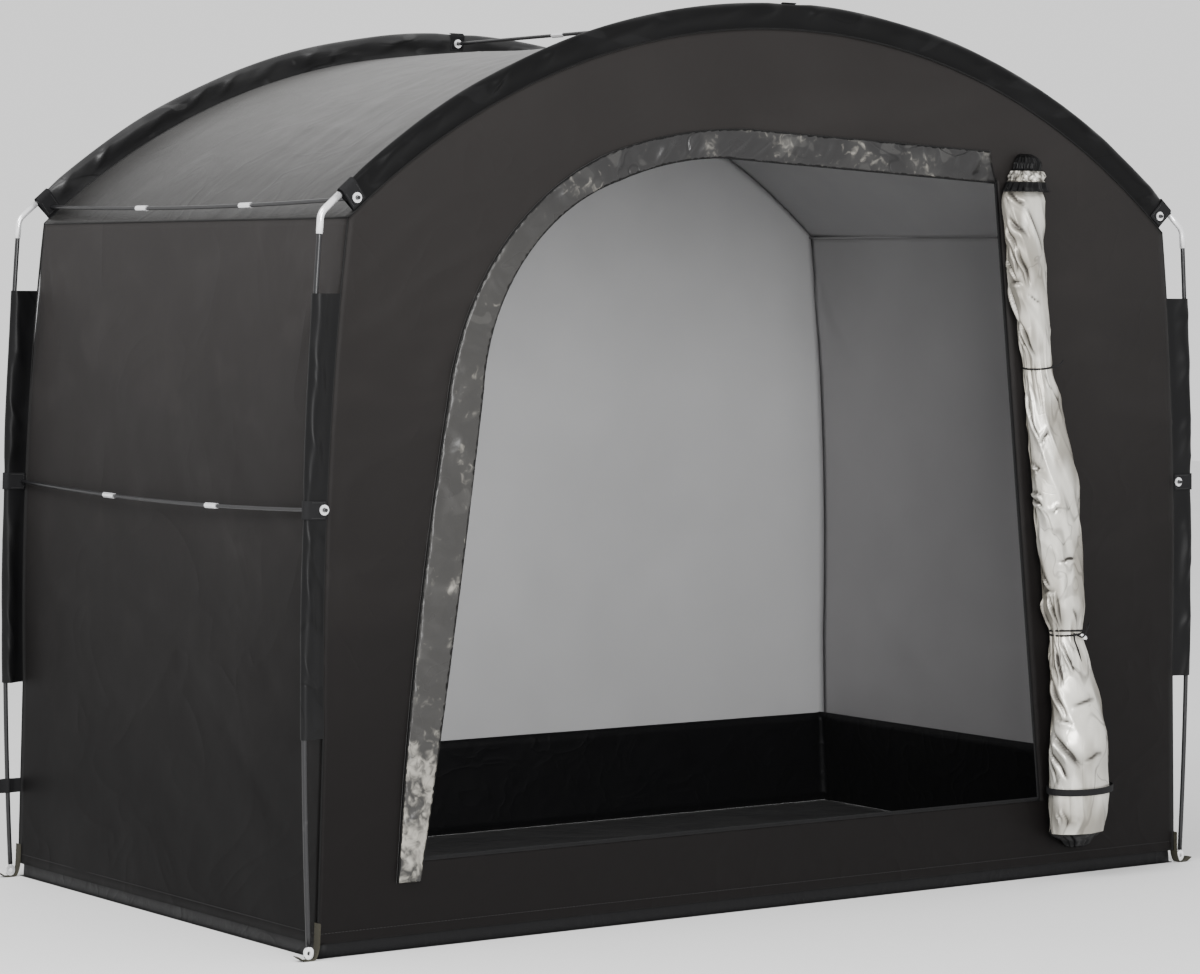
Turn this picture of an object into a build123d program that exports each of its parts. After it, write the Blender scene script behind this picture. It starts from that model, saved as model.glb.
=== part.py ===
# Bike shelter: a cloth cover carried by two arched pole hoops, with a D-shaped doorway in its
# front wall and the door panel rolled up and tied at the right.
# Millimetres, +Z up, +X to the right of someone who faces the doorway, +Y into the shelter.
# The origin is on the ground, at the middle of the overall width and depth.
import os
from math import asin, atan2, cos, degrees, pi, radians, sin, sqrt

from build123d import *

os.makedirs("parts", exist_ok=True)

# Hoops: two legs, two elbows and an arch, in one upright plane
hoop_spacing = 1100.0
foot_half_span = 1018.0
foot_height = 24.0
leg_bow = 18.8
arch_radius = 1466.0
arch_apex_height = 1652.0
shoulder_half_span = 998.4
pole_radius = 4.5
elbow_leg_run = 34.0
elbow_arch_run = 49.0
elbow_wall = 1.2
elbow_bend_radius = 26.0
socket_depth = 18.0
socket_clearance = 0.3

# Round stock is drawn with flats
pole_flat_count = 8
washer_flat_count = 16
roll_flat_count = 20

# Cover: cloth panels that hang inside the hoops
cloth = 1.2
seam_gap = 0.3
seam_drop = 40.0
hem_height = 25.0
wall_top_half_span = 944.0
wall_mid_half_span = 985.0
wall_mid_height = 765.0
wall_low_half_span = 990.0
wall_hem_half_span = 1000.0

# Sleeves: cloth flaps with a pocket that the pole runs through
pocket_clearance = 0.3
sleeve_bottom_height = 375.0
sleeve_top_gap = 100.0
sleeve_end_gap = 2.5

# Ground sheet: a floor with upstand lips
floor_thickness = 1.5
lip_height = 200.0
front_lip_height = 140.0

# Doorway and its trim
sill_top_height = 158.0
door_left_foot = 788.0
door_left_low = 724.0
door_left_low_height = 561.0
door_left_spring = 669.0
door_left_spring_height = 960.0
door_left_haunch = 579.0
door_left_haunch_height = 1193.0
door_left_shoulder = 385.0
door_left_shoulder_height = 1326.0
door_brow = 259.0
door_brow_height = 1362.0
door_crown = 151.0
door_crown_height = 1373.0
door_right_top = 501.0
door_right_top_height = 1342.0
door_right_foot = 632.0
zip_width = 7.0
zip_thickness = 2.4
flap_show = 2.0
flap_bottom_height = 117.0
flap_foot_half_span = 840.0
flap_low_half_span = 801.0
flap_low_height = 550.0
flap_spring_half_span = 742.0
flap_spring_height = 940.0
flap_haunch_half_span = 619.0
flap_haunch_height = 1221.0
flap_shoulder_half_span = 410.0
flap_shoulder_height = 1373.0
flap_brow_half_span = 270.0
flap_brow_height = 1410.0
flap_crown_half_span = 98.0
flap_crown_height = 1426.0
flap_end_half_span = 488.0
flap_end_height = 1402.0
front_split_left = 560.0
front_split_right = 510.0

# Rods between the hoops
rod_radius = 3.5
rod_overhang = 13.0
upper_rod_half_span = 931.0
upper_rod_drop = 24.0
upper_rod_sag = 9.0
mid_rod_height = 762.0
mid_rod_offset = 31.0
mid_rod_sag = 12.0
mid_rod_bulge = 6.0
ridge_rod_drop = 14.0
eyelet_clearance = 1.4
ferrule_length = 38.0
ferrule_wall = 1.4
ferrule_clearance = 0.2
washer_radius = 9.0
washer_thickness = 2.0
washer_clearance = 0.5

# Webbing
webbing = 1.5
tab_width = 32.0
tab_margin = 10.0
foot_strap_width = 20.0
foot_strap_rise = 62.0
foot_strap_tail = 24.0
foot_strap_bend = 9.0
cuff_height = 176.0
cuff_width = 27.0
cuff_tail = 38.0

# Foot lug: a flat steel eye on a stem that plugs into the pole
lug_width = 18.0
lug_thickness = 4.0
lug_hole_radius = 4.0
lug_stem_radius = 2.6
lug_stem_depth = 20.0

# Rolled door panel, tied in two places
tie_thickness = 2.0
tie_width = 6.0
toggle_radius = 2.0
toggle_length = 20.0
toggle_slant = 65.0
waist_half_height = 8.0
band_width = 13.0
band_half_width = 75.0
band_half_depth = 44.0
cap_top_height = 1402.0
cap_top_middle = 566.0
cap_top_half_width = 20.0
roll_top_height = 1334.0
roll_top_middle = 550.0
roll_top_half_width = 52.0
upper_tie_height = 993.0
upper_tie_middle = 597.0
upper_tie_half_width = 36.0
belly_height = 760.0
belly_middle = 638.0
belly_half_width = 56.0
lower_tie_height = 477.0
lower_tie_middle = 678.0
lower_tie_half_width = 40.0
low_belly_height = 330.0
low_belly_middle = 698.0
low_belly_half_width = 60.0
band_height = 176.0
band_middle = 700.0
roll_bottom_height = 90.0
roll_bottom_middle = 700.0
roll_bottom_half_width = 66.0
tail_bottom_height = 56.0
tail_middle = 712.0
tail_half_width = 30.0
tail_taper = 6.0


# Worked-out places
arch_centre_height = arch_apex_height - arch_radius
seam_radius = arch_radius - seam_drop
pocket_bore = pole_radius + pocket_clearance
pocket_radius = pocket_bore + cloth
elbow_radius = pole_radius + socket_clearance + elbow_wall
tab_inner_radius = pocket_radius + seam_gap
tab_outer_radius = tab_inner_radius + webbing
upper_rod_radius_at = arch_radius - upper_rod_drop
upper_rod_angle = asin(upper_rod_half_span / upper_rod_radius_at)
upper_rod_height = arch_centre_height + upper_rod_radius_at * cos(upper_rod_angle)
shoulder_angle = asin(shoulder_half_span / arch_radius)
shoulder_height = arch_centre_height + arch_radius * cos(shoulder_angle)
elbow_base_height = shoulder_height - elbow_leg_run
elbow_end_angle = shoulder_angle - elbow_arch_run / arch_radius
leg_top_height = elbow_base_height + socket_depth
bow_height = (foot_height + shoulder_height) / 2
bow_half_span = (foot_half_span + shoulder_half_span) / 2 + leg_bow
sleeve_top_height = elbow_base_height - sleeve_top_gap
sleeve_middle = (sleeve_bottom_height + sleeve_top_height) / 2
sleeve_end_angle = elbow_end_angle - sleeve_end_gap / arch_radius
wall_top_height = arch_centre_height + sqrt(seam_radius**2 - wall_top_half_span**2)

# The widest section of the roll sets how far the shelter reaches forward
roll_stand_off = zip_thickness / 2 + seam_gap + tie_thickness + seam_gap
roll_flatness = band_half_depth / band_half_width
front_reach = roll_stand_off + 2 * band_half_depth + seam_gap + tie_thickness
back_reach = rod_overhang
front_y = -hoop_spacing / 2 + (front_reach - back_reach) / 2
back_y = front_y + hoop_spacing


def round_points(x, y, half_width, half_depth, flats=washer_flat_count):
    """Corners of a flat-sided ellipse round a middle."""
    turns = [2 * pi * flat / flats for flat in range(flats)]
    return [(x + half_width * cos(turn), y + half_depth * sin(turn)) for turn in turns]


def hoop_plane(y):
    """Upright plane across the shelter at depth y, drawn with x to the right and z up."""
    return Plane.XZ.offset(-y)


def circle_through(a, b, c):
    """Centre and radius of the circle through three points of a plane."""
    arc = ThreePointArc(a, b, c, mode=Mode.PRIVATE)
    centre = arc.arc_center
    return centre.X, centre.Y, arc.radius


def corner_of(start, start_angle, end, end_angle):
    """Point where two lines meet, each given by a point and the angle it runs at."""
    dx, dz = end[0] - start[0], end[1] - start[1]
    turn = sin(end_angle - start_angle)
    along = (dx * sin(end_angle) - dz * cos(end_angle)) / turn
    return start[0] + along * cos(start_angle), start[1] + along * sin(start_angle)


# The leg bows outwards on one large arc
leg_x0, leg_z0, leg_radius = circle_through(
    (foot_half_span, foot_height),
    (bow_half_span, bow_height),
    (shoulder_half_span, shoulder_height),
)
# Above the sleeve's lower end the wall's corner bows outwards too, on an arc of its own
wall_x0, wall_z0, wall_radius = circle_through(
    (wall_top_half_span, wall_top_height),
    (wall_mid_half_span, wall_mid_height),
    (wall_low_half_span, sleeve_bottom_height),
)


def leg_x(height):
    """Half span of the leg's centre line at a height."""
    return leg_x0 + sqrt(leg_radius**2 - (height - leg_z0) ** 2)


def leg_lean(height):
    """Angle of the leg's centre line at a height, from the x axis."""
    return atan2(height - leg_z0, leg_x(height) - leg_x0) + radians(90)


def wall_x(height):
    """Half span of the cover's corner at a height."""
    if height >= sleeve_bottom_height:
        return wall_x0 + sqrt(wall_radius**2 - (height - wall_z0) ** 2)
    drop = (sleeve_bottom_height - height) / (sleeve_bottom_height - hem_height)
    return wall_low_half_span + drop * (wall_hem_half_span - wall_low_half_span)


def arch_point(radius, angle, side=1):
    """Point of the hoop's plane at a radius from the arch's centre and an angle from upright."""
    return side * radius * sin(angle), arch_centre_height + radius * cos(angle)


def wall_corner(side, inset, bottom, top):
    """The cover's corner line as seen along the shelter, moved inwards by inset."""
    kink = (side * (wall_low_half_span - inset), sleeve_bottom_height)
    middle = (bottom + top) / 2
    with BuildLine() as corner:
        if bottom >= sleeve_bottom_height or top <= sleeve_bottom_height:
            ends = [(side * (wall_x(z) - inset), z) for z in (bottom, middle, top)]
            ThreePointArc(*ends) if bottom >= sleeve_bottom_height else Line(ends[0], ends[2])
        else:
            arc_middle = (sleeve_bottom_height + top) / 2
            Line((side * (wall_x(bottom) - inset), bottom), kink)
            ThreePointArc(
                kink,
                (side * (wall_x(arc_middle) - inset), arc_middle),
                (side * (wall_x(top) - inset), top),
            )
    return corner.line


def hoop_panel(bottom, top):
    """Outline of a panel between the two corner lines, under the arch, cut between two heights."""
    apex = (0, arch_centre_height + seam_radius)
    with BuildSketch() as panel:
        with BuildLine():
            add(wall_corner(1, 0, hem_height, wall_top_height))
            add(wall_corner(-1, 0, hem_height, wall_top_height))
            ThreePointArc(
                (wall_top_half_span, wall_top_height), apex, (-wall_top_half_span, wall_top_height)
            )
            Line((-wall_hem_half_span, hem_height), (wall_hem_half_span, hem_height))
        make_face()
        with Locations((0, (bottom + top) / 2)):
            Rectangle(3 * foot_half_span, top - bottom, mode=Mode.INTERSECT)
    return panel.sketch


def door_outline(grow):
    """The doorway's outline, with every point moved outwards by a margin."""
    lean = grow * sqrt(1 / 2)
    low_y, top_y = sill_top_height - grow, door_right_top_height + grow
    left_foot = (-door_left_foot - grow, low_y)
    spring = (-door_left_spring - grow, door_left_spring_height)
    shoulder = (-door_left_shoulder - lean / 2, door_left_shoulder_height + grow)
    crown = (-door_crown, door_crown_height + grow)
    right_top = (door_right_top + grow, top_y)
    right_foot = (door_right_foot + grow, low_y)
    with BuildSketch() as outline:
        with BuildLine():
            ThreePointArc(left_foot, (-door_left_low - grow, door_left_low_height), spring)
            ThreePointArc(
                spring, (-door_left_haunch - lean, door_left_haunch_height + lean), shoulder
            )
            ThreePointArc(shoulder, (-door_brow, door_brow_height + grow), crown)
            Polyline(crown, right_top, right_foot, left_foot)
        make_face()
    return outline.sketch


def flap_outline():
    """The storm flap's outer outline, closed across the doorway."""
    with BuildSketch() as outline:
        with BuildLine():
            ThreePointArc(
                (-flap_foot_half_span, flap_bottom_height),
                (-flap_low_half_span, flap_low_height),
                (-flap_spring_half_span, flap_spring_height),
            )
            ThreePointArc(
                (-flap_spring_half_span, flap_spring_height),
                (-flap_haunch_half_span, flap_haunch_height),
                (-flap_shoulder_half_span, flap_shoulder_height),
            )
            ThreePointArc(
                (-flap_shoulder_half_span, flap_shoulder_height),
                (-flap_brow_half_span, flap_brow_height),
                (-flap_crown_half_span, flap_crown_height),
            )
            Line((-flap_crown_half_span, flap_crown_height), (flap_end_half_span, flap_end_height))
            Line((flap_end_half_span, flap_end_height), (flap_end_half_span, flap_bottom_height))
            Line((flap_end_half_span, flap_bottom_height), (-flap_foot_half_span, flap_bottom_height))
        make_face()
    return outline.sketch


def arch_band(inner, outer, half_angle):
    """Flat ring sector about the arch's centre, half_angle to each side of upright."""
    turn = degrees(half_angle)
    with BuildSketch() as band:
        with BuildLine():
            CenterArc((0, arch_centre_height), outer, 90 - turn, 2 * turn)
            CenterArc((0, arch_centre_height), inner, 90 - turn, 2 * turn)
            for side in (-1, 1):
                Line(arch_point(inner, half_angle, side), arch_point(outer, half_angle, side))
        make_face()
    return band.sketch


def fold_profile(pocket, length, front_only):
    """Webbing folded over a pole pocket, seen along the pole, open at its far end.

    The pole is at the origin and the two layers run along -x towards the cover.
    """
    with BuildSketch() as fold:
        for grow, mode in ((seam_gap + webbing, Mode.ADD), (seam_gap, Mode.SUBTRACT)):
            with BuildSketch(mode=Mode.PRIVATE) as layer:
                with BuildLine():
                    Polyline(*round_points(0, 0, pocket + grow, pocket + grow), close=True)
                    end = cloth / 2 + grow
                    Polyline(*round_points(-length, 0, end, end), close=True)
                make_hull()
            add(layer.sketch, mode=mode)
        reach = pocket + seam_gap + webbing
        with Locations((-length - reach / 2, 0)):
            Rectangle(reach, 2 * reach, mode=Mode.SUBTRACT)
        if front_only:
            with Locations((0, -reach)):
                Rectangle(4 * length, 2 * reach, mode=Mode.SUBTRACT)
    return fold.sketch


def write(piece, name):
    """Label a finished piece and write its STEP file."""
    piece.part.label = name
    export_step(piece.part, f"parts/{name}.step")


hoops = {"front": front_y, "back": back_y}
sides = {"left": -1, "right": 1}
corners = [(f"{hoop}_{hand}", y, side) for hoop, y in hoops.items() for hand, side in sides.items()]
upper_rod_at = arch_point(upper_rod_radius_at, upper_rod_angle)
mid_rod_x = leg_x(mid_rod_height) - mid_rod_offset
elbow_corner = corner_of(
    (leg_x(elbow_base_height), elbow_base_height),
    leg_lean(elbow_base_height),
    arch_point(arch_radius, elbow_end_angle),
    -elbow_end_angle,
)

# Legs, elbows, leg sleeves and foot lugs, one of each at every corner
for corner, y, side in corners:
    plane = hoop_plane(y)
    with BuildPart() as leg:
        with BuildLine(plane) as route:
            ThreePointArc(
                *[(side * leg_x(z), z) for z in (foot_height, bow_height, leg_top_height)]
            )
        with BuildSketch(Plane(route.line ^ 0)):
            RegularPolygon(pole_radius, pole_flat_count)
        sweep()
        with BuildSketch(Plane(route.line ^ 0)):
            RegularPolygon(lug_stem_radius + socket_clearance, pole_flat_count)
        extrude(amount=lug_stem_depth + seam_gap, mode=Mode.SUBTRACT)
    write(leg, f"{corner}_leg")

    with BuildPart() as elbow:
        with BuildLine(plane) as route:
            FilletPolyline(
                (side * leg_x(elbow_base_height), elbow_base_height),
                (side * elbow_corner[0], elbow_corner[1]),
                arch_point(arch_radius, elbow_end_angle, side),
                radius=elbow_bend_radius,
            )
        with BuildSketch(Plane(route.line ^ 0)):
            RegularPolygon(elbow_radius, pole_flat_count)
            RegularPolygon(elbow_radius - elbow_wall, pole_flat_count, mode=Mode.SUBTRACT)
        sweep()
    write(elbow, f"{corner}_elbow")

    with BuildPart() as leg_sleeve:
        with BuildSketch(plane):
            with BuildLine():
                add(wall_corner(side, -seam_gap, hem_height, wall_top_height))
                Line(
                    (side * (wall_x(wall_top_height) + seam_gap), wall_top_height),
                    (side * leg_x(leg_top_height), leg_top_height),
                )
                ThreePointArc(
                    *[(side * leg_x(z), z) for z in (leg_top_height, bow_height, foot_height)]
                )
                Line(
                    (side * leg_x(foot_height), foot_height),
                    (side * (wall_x(hem_height) + seam_gap), hem_height),
                )
            make_face()
        extrude(amount=cloth / 2, both=True)
        with BuildLine(plane) as route:
            ThreePointArc(
                *[(side * leg_x(z), z) for z in (foot_height, bow_height, leg_top_height)]
            )
        with BuildSketch(Plane(route.line ^ 0)):
            RegularPolygon(pocket_radius, pole_flat_count)
        sweep()
        with BuildSketch(Plane(route.line ^ 0)):
            RegularPolygon(pocket_bore, pole_flat_count)
        sweep(path=route.line, mode=Mode.SUBTRACT)
        with BuildSketch(plane):
            with Locations((side * mid_rod_x, mid_rod_height)):
                RegularPolygon(rod_radius + eyelet_clearance, pole_flat_count)
        extrude(amount=tab_outer_radius, both=True, mode=Mode.SUBTRACT)
        with Locations((side * leg_x(sleeve_middle), y, sleeve_middle)):
            Box(
                foot_half_span,
                4 * pocket_radius,
                sleeve_top_height - sleeve_bottom_height,
                mode=Mode.INTERSECT,
            )
    write(leg_sleeve, f"{corner}_leg_sleeve")

# Arch poles and the sleeves they run through
for hoop, y in hoops.items():
    plane = hoop_plane(y)
    pole_angle = elbow_end_angle + socket_depth / arch_radius
    with BuildPart() as arch:
        with BuildLine(plane) as route:
            CenterArc(
                (0, arch_centre_height), arch_radius, 90 - degrees(pole_angle), 2 * degrees(pole_angle)
            )
        with BuildSketch(Plane(route.line ^ 0)):
            RegularPolygon(pole_radius, pole_flat_count)
        sweep()
    write(arch, f"{hoop}_arch_pole")

    with BuildPart() as arch_sleeve:
        with BuildSketch(plane):
            add(arch_band(seam_radius + seam_gap, arch_radius, sleeve_end_angle))
        extrude(amount=cloth / 2, both=True)
        with BuildLine(plane) as route:
            CenterArc(
                (0, arch_centre_height),
                arch_radius,
                90 - degrees(sleeve_end_angle),
                2 * degrees(sleeve_end_angle),
            )
        with BuildSketch(Plane(route.line ^ 0)):
            RegularPolygon(pocket_radius, pole_flat_count)
        sweep(path=route.line)
        with BuildSketch(Plane(route.line ^ 0)):
            RegularPolygon(pocket_bore, pole_flat_count)
        sweep(path=route.line, mode=Mode.SUBTRACT)
        with BuildSketch(plane):
            with Locations(*[(side * upper_rod_at[0], upper_rod_at[1]) for side in (-1, 1)]):
                RegularPolygon(rod_radius + eyelet_clearance, pole_flat_count)
        extrude(amount=tab_outer_radius, both=True, mode=Mode.SUBTRACT)
    write(arch_sleeve, f"{hoop}_arch_sleeve")

# Front wall: four panels round the doorway
door_cut = door_outline(zip_width + seam_gap)
sill_split = sill_top_height - zip_width - seam_gap
front_panels = {
    "front_sill": (-2 * foot_half_span, 2 * foot_half_span, hem_height, sill_split),
    "front_wall_left": (
        -2 * foot_half_span, -front_split_left, sill_split + seam_gap, arch_apex_height,
    ),
    "front_wall_top": (
        -front_split_left + seam_gap,
        front_split_right - seam_gap,
        sill_split + seam_gap,
        arch_apex_height,
    ),
    "front_wall_right": (
        front_split_right, 2 * foot_half_span, sill_split + seam_gap, arch_apex_height,
    ),
}
for name, (left, right, bottom, top) in front_panels.items():
    with BuildPart() as panel:
        with BuildSketch(hoop_plane(front_y)):
            add(hoop_panel(bottom, top))
            with Locations(((left + right) / 2, (bottom + top) / 2)):
                Rectangle(right - left, top - bottom, mode=Mode.INTERSECT)
            add(door_cut, mode=Mode.SUBTRACT)
        extrude(amount=cloth / 2, both=True)
    write(panel, name)

with BuildPart() as back_wall:
    with BuildSketch(hoop_plane(back_y)):
        add(hoop_panel(hem_height, arch_apex_height))
    extrude(amount=cloth / 2, both=True)
write(back_wall, "back_wall")

# Side walls and roof: skins that run from the front wall to the back wall
skin_length = hoop_spacing - cloth - 2 * seam_gap
skin_middle = (front_y + back_y) / 2
for hand, side in sides.items():
    with BuildPart() as side_wall:
        with BuildSketch(hoop_plane(skin_middle)):
            top = wall_top_height - cloth - seam_gap
            with BuildLine():
                add(wall_corner(side, 0, hem_height, top))
                add(wall_corner(side, cloth, hem_height, top))
                for z in (hem_height, top):
                    Line((side * wall_x(z), z), (side * (wall_x(z) - cloth), z))
            make_face()
        extrude(amount=skin_length / 2, both=True)
    write(side_wall, f"{hand}_wall")

roof_angle = asin(wall_top_half_span / seam_radius)
with BuildPart() as roof:
    with BuildSketch(hoop_plane(skin_middle)):
        add(arch_band(seam_radius - cloth, seam_radius, roof_angle))
    extrude(amount=skin_length / 2, both=True)
write(roof, "roof")

# Ground sheet: a flat floor, with lips that stand up inside the walls
lip_inset = cloth + seam_gap
floor_half_span = wall_hem_half_span - lip_inset
floor_depth = skin_length - 2 * seam_gap
with BuildPart() as ground_sheet:
    with Locations((0, skin_middle, floor_thickness / 2)):
        Box(2 * floor_half_span, floor_depth, floor_thickness)
write(ground_sheet, "ground_sheet")

lip_foot = floor_thickness + seam_gap
with BuildPart() as lips:
    for side in (-1, 1):
        with BuildSketch(hoop_plane(skin_middle)):
            with BuildLine():
                Polyline(
                    (side * (wall_x(lip_height) - lip_inset), lip_height),
                    (side * (wall_x(hem_height) - lip_inset), hem_height),
                    (side * floor_half_span, lip_foot),
                    (side * (floor_half_span - cloth), lip_foot),
                    (side * (wall_x(hem_height) - lip_inset - cloth), hem_height),
                    (side * (wall_x(lip_height) - lip_inset - cloth), lip_height),
                    close=True,
                )
            make_face()
        extrude(amount=floor_depth / 2, both=True)
    lip_half_span = wall_x(lip_height) - lip_inset - cloth - seam_gap
    for toward, height in ((-1, front_lip_height), (1, lip_height)):
        lip_y = skin_middle + toward * (floor_depth - cloth) / 2
        with Locations((0, lip_y, (height + lip_foot) / 2)):
            Box(2 * lip_half_span, cloth, height - lip_foot)
write(lips, "ground_sheet_lips")


def rod_route(kind):
    """Start, middle and end of a rod between the hoops, on the right-hand side."""
    start_y, end_y = front_y - rod_overhang, back_y + rod_overhang
    if kind == "upper":
        x, z = upper_rod_at
        return (x, start_y, z), (x, skin_middle, z - upper_rod_sag), (x, end_y, z)
    if kind == "mid":
        bowed = (mid_rod_x + mid_rod_bulge, skin_middle, mid_rod_height - mid_rod_sag)
        return (mid_rod_x, start_y, mid_rod_height), bowed, (mid_rod_x, end_y, mid_rod_height)
    z = arch_apex_height - ridge_rod_drop
    inner = cloth / 2 + seam_gap
    return (0, front_y + inner, z), (0, skin_middle, z), (0, back_y - inner, z)


rods = [("left_upper", "upper", -1), ("right_upper", "upper", 1)]
rods += [("left_mid", "mid", -1), ("right_mid", "mid", 1), ("ridge", "ridge", 1)]
ferrule_places = []
for name, kind, side in rods:
    start, middle, end = [(side * x, y, z) for x, y, z in rod_route(kind)]
    with BuildPart() as rod:
        with BuildLine() as route:
            if kind == "ridge":
                Line(start, end)
            else:
                ThreePointArc(start, middle, end)
        with BuildSketch(Plane(route.line ^ 0)):
            RegularPolygon(rod_radius, pole_flat_count)
        sweep()
    write(rod, f"{name}_rod")
    ferrule_places += [Plane(route.line ^ share) for share in (1 / 3, 2 / 3)]

with BuildPart() as ferrules:
    for place in ferrule_places:
        with BuildSketch(place):
            RegularPolygon(rod_radius + ferrule_clearance + ferrule_wall, pole_flat_count)
            RegularPolygon(rod_radius + ferrule_clearance, pole_flat_count, mode=Mode.SUBTRACT)
        extrude(amount=ferrule_length / 2, both=True)
write(ferrules, "rod_ferrules")


def across_pole(x, y, z, angle, side):
    """Plane across a pole whose outward side faces along angle, in the hoop's plane.

    Its x axis points outwards from the cover and its z axis runs up the pole.
    """
    return Plane(
        origin=(side * x, y, z),
        x_dir=(side * cos(angle), 0, sin(angle)),
        z_dir=(-side * sin(angle), 0, cos(angle)),
    )


def across_leg(side, y, height):
    """Plane across a leg at a height."""
    return across_pole(leg_x(height), y, height, leg_lean(height) - radians(90), side)


upper_tab_length = upper_rod_drop + rod_radius + tab_margin
mid_tab_length = leg_x(mid_rod_height) - wall_x(mid_rod_height) - 2 * seam_gap
ridge_tab_length = ridge_rod_drop + rod_radius + tab_margin

with BuildPart() as shoulder_tabs:
    for y in hoops.values():
        for side in (-1, 1):
            x, z = arch_point(arch_radius, upper_rod_angle)
            with BuildSketch(across_pole(x, y, z, radians(90) - upper_rod_angle, side)):
                add(fold_profile(pocket_radius, upper_tab_length, False))
            extrude(amount=tab_width / 2, both=True)
            with BuildSketch(hoop_plane(y)):
                with Locations((side * upper_rod_at[0], upper_rod_at[1])):
                    RegularPolygon(rod_radius + eyelet_clearance, pole_flat_count)
            extrude(amount=2 * tab_outer_radius, both=True, mode=Mode.SUBTRACT)
write(shoulder_tabs, "shoulder_tabs")

with BuildPart() as mid_tabs:
    for y in hoops.values():
        for side in (-1, 1):
            with BuildSketch(across_leg(side, y, mid_rod_height)):
                add(fold_profile(pocket_radius, mid_tab_length, False))
            extrude(amount=tab_width / 2, both=True)
            with BuildSketch(hoop_plane(y)):
                with Locations((side * mid_rod_x, mid_rod_height)):
                    RegularPolygon(rod_radius + eyelet_clearance, pole_flat_count)
            extrude(amount=2 * tab_outer_radius, both=True, mode=Mode.SUBTRACT)
write(mid_tabs, "mid_tabs")

# The ridge rod ends in a tab on the inner side of each arch
with BuildPart() as apex_tabs:
    for y, inwards in ((front_y, 1), (back_y, -1)):
        across = Plane(origin=(0, y, arch_apex_height), x_dir=(0, 0, 1), z_dir=(inwards, 0, 0))
        with BuildSketch(across):
            add(fold_profile(pocket_radius, ridge_tab_length, True))
        extrude(amount=tab_width / 2, both=True)
        with BuildSketch(hoop_plane(y)):
            with Locations((0, arch_apex_height - ridge_rod_drop)):
                RegularPolygon(rod_radius + eyelet_clearance, pole_flat_count)
        extrude(amount=2 * tab_outer_radius, both=True, mode=Mode.SUBTRACT)
write(apex_tabs, "apex_tabs")


def tab_face(drop, length):
    """How far a folded tab's outer face stands from the hoop's plane, drop away from the pole."""
    thick_end = tab_outer_radius
    thin_end = cloth / 2 + seam_gap + webbing
    return thick_end + (thin_end - thick_end) * (drop - washer_radius) / length


washer_places = []
for y, outwards in ((front_y, -1), (back_y, 1)):
    for side in (-1, 1):
        places = (
            (upper_rod_at, upper_rod_drop, upper_tab_length),
            ((mid_rod_x, mid_rod_height), mid_rod_offset, mid_tab_length),
        )
        for (x, z), drop, length in places:
            reach = tab_face(drop, length) + seam_gap + washer_thickness / 2
            washer_places.append((side * x, y + outwards * reach, z))
    reach = tab_face(ridge_rod_drop, ridge_tab_length) + seam_gap + washer_thickness / 2
    washer_places.append((0, y - outwards * reach, arch_apex_height - ridge_rod_drop))

with BuildPart() as washers:
    for x, y, z in washer_places:
        with BuildSketch(hoop_plane(y)):
            with Locations((x, z)):
                RegularPolygon(washer_radius, washer_flat_count)
                RegularPolygon(
                    rod_radius + washer_clearance, washer_flat_count, mode=Mode.SUBTRACT
                )
        extrude(amount=washer_thickness / 2, both=True)
write(washers, "rod_washers")

# Feet: a flat steel eye plugged into each pole, standing on a strap that comes from the hem
lug_bottom = webbing + seam_gap
lug_top = foot_height - 2 * seam_gap
with BuildPart() as lugs:
    for corner, y, side in corners:
        with BuildSketch(hoop_plane(y)):
            with Locations((side * leg_x(foot_height), (lug_bottom + lug_top) / 2)):
                SlotOverall(lug_top - lug_bottom, lug_width, rotation=90)
                RegularPolygon(lug_hole_radius, pole_flat_count, mode=Mode.SUBTRACT)
        extrude(amount=lug_thickness / 2, both=True)
        with BuildSketch(across_leg(side, y, foot_height)):
            RegularPolygon(lug_stem_radius, pole_flat_count)
        extrude(amount=lug_stem_depth)
        with BuildSketch(across_leg(side, y, foot_height)):
            RegularPolygon(lug_stem_radius, pole_flat_count)
        extrude(amount=-(lug_width / 2 - lug_hole_radius) / 2)
write(lugs, "foot_lugs")

with BuildPart() as foot_straps:
    for corner, y, side in corners:
        x = leg_x(foot_height)
        strap_x = wall_x(foot_strap_rise) + seam_gap + webbing / 2
        under = webbing / 2
        with BuildSketch(hoop_plane(y)):
            with BuildLine():
                FilletPolyline(
                    (side * strap_x, foot_strap_rise),
                    (side * (wall_x(hem_height) + seam_gap + webbing / 2), hem_height),
                    (side * (x - lug_width / 2 - webbing), under),
                    (side * (x + lug_width / 2), under),
                    (side * (x + foot_strap_tail), under + foot_strap_tail / 3),
                    radius=foot_strap_bend,
                )
            trace(line_width=webbing)
        extrude(amount=foot_strap_width / 2, both=True)
write(foot_straps, "foot_straps")

with BuildPart() as cuffs:
    for side in (-1, 1):
        x = leg_x(cuff_height)
        reach = x - wall_x(cuff_height - cuff_width / 2) - 2 * seam_gap
        ring = pole_radius + seam_gap + webbing
        with BuildSketch(across_leg(side, back_y, cuff_height)):
            RegularPolygon(ring, washer_flat_count)
            with Locations((-reach / 2, 0)):
                Rectangle(reach, 2 * webbing)
            with Locations((cuff_tail / 2, 0)):
                Rectangle(cuff_tail, 2 * webbing)
            RegularPolygon(ring - webbing, washer_flat_count, mode=Mode.SUBTRACT)
        extrude(amount=cuff_width / 2, both=True)
write(cuffs, "cuff_straps")

# Doorway trim
with BuildPart() as door_zip:
    with BuildSketch(hoop_plane(front_y)):
        add(door_outline(zip_width))
        add(door_outline(0), mode=Mode.SUBTRACT)
    extrude(amount=zip_thickness / 2, both=True)
write(door_zip, "door_zip")

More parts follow.
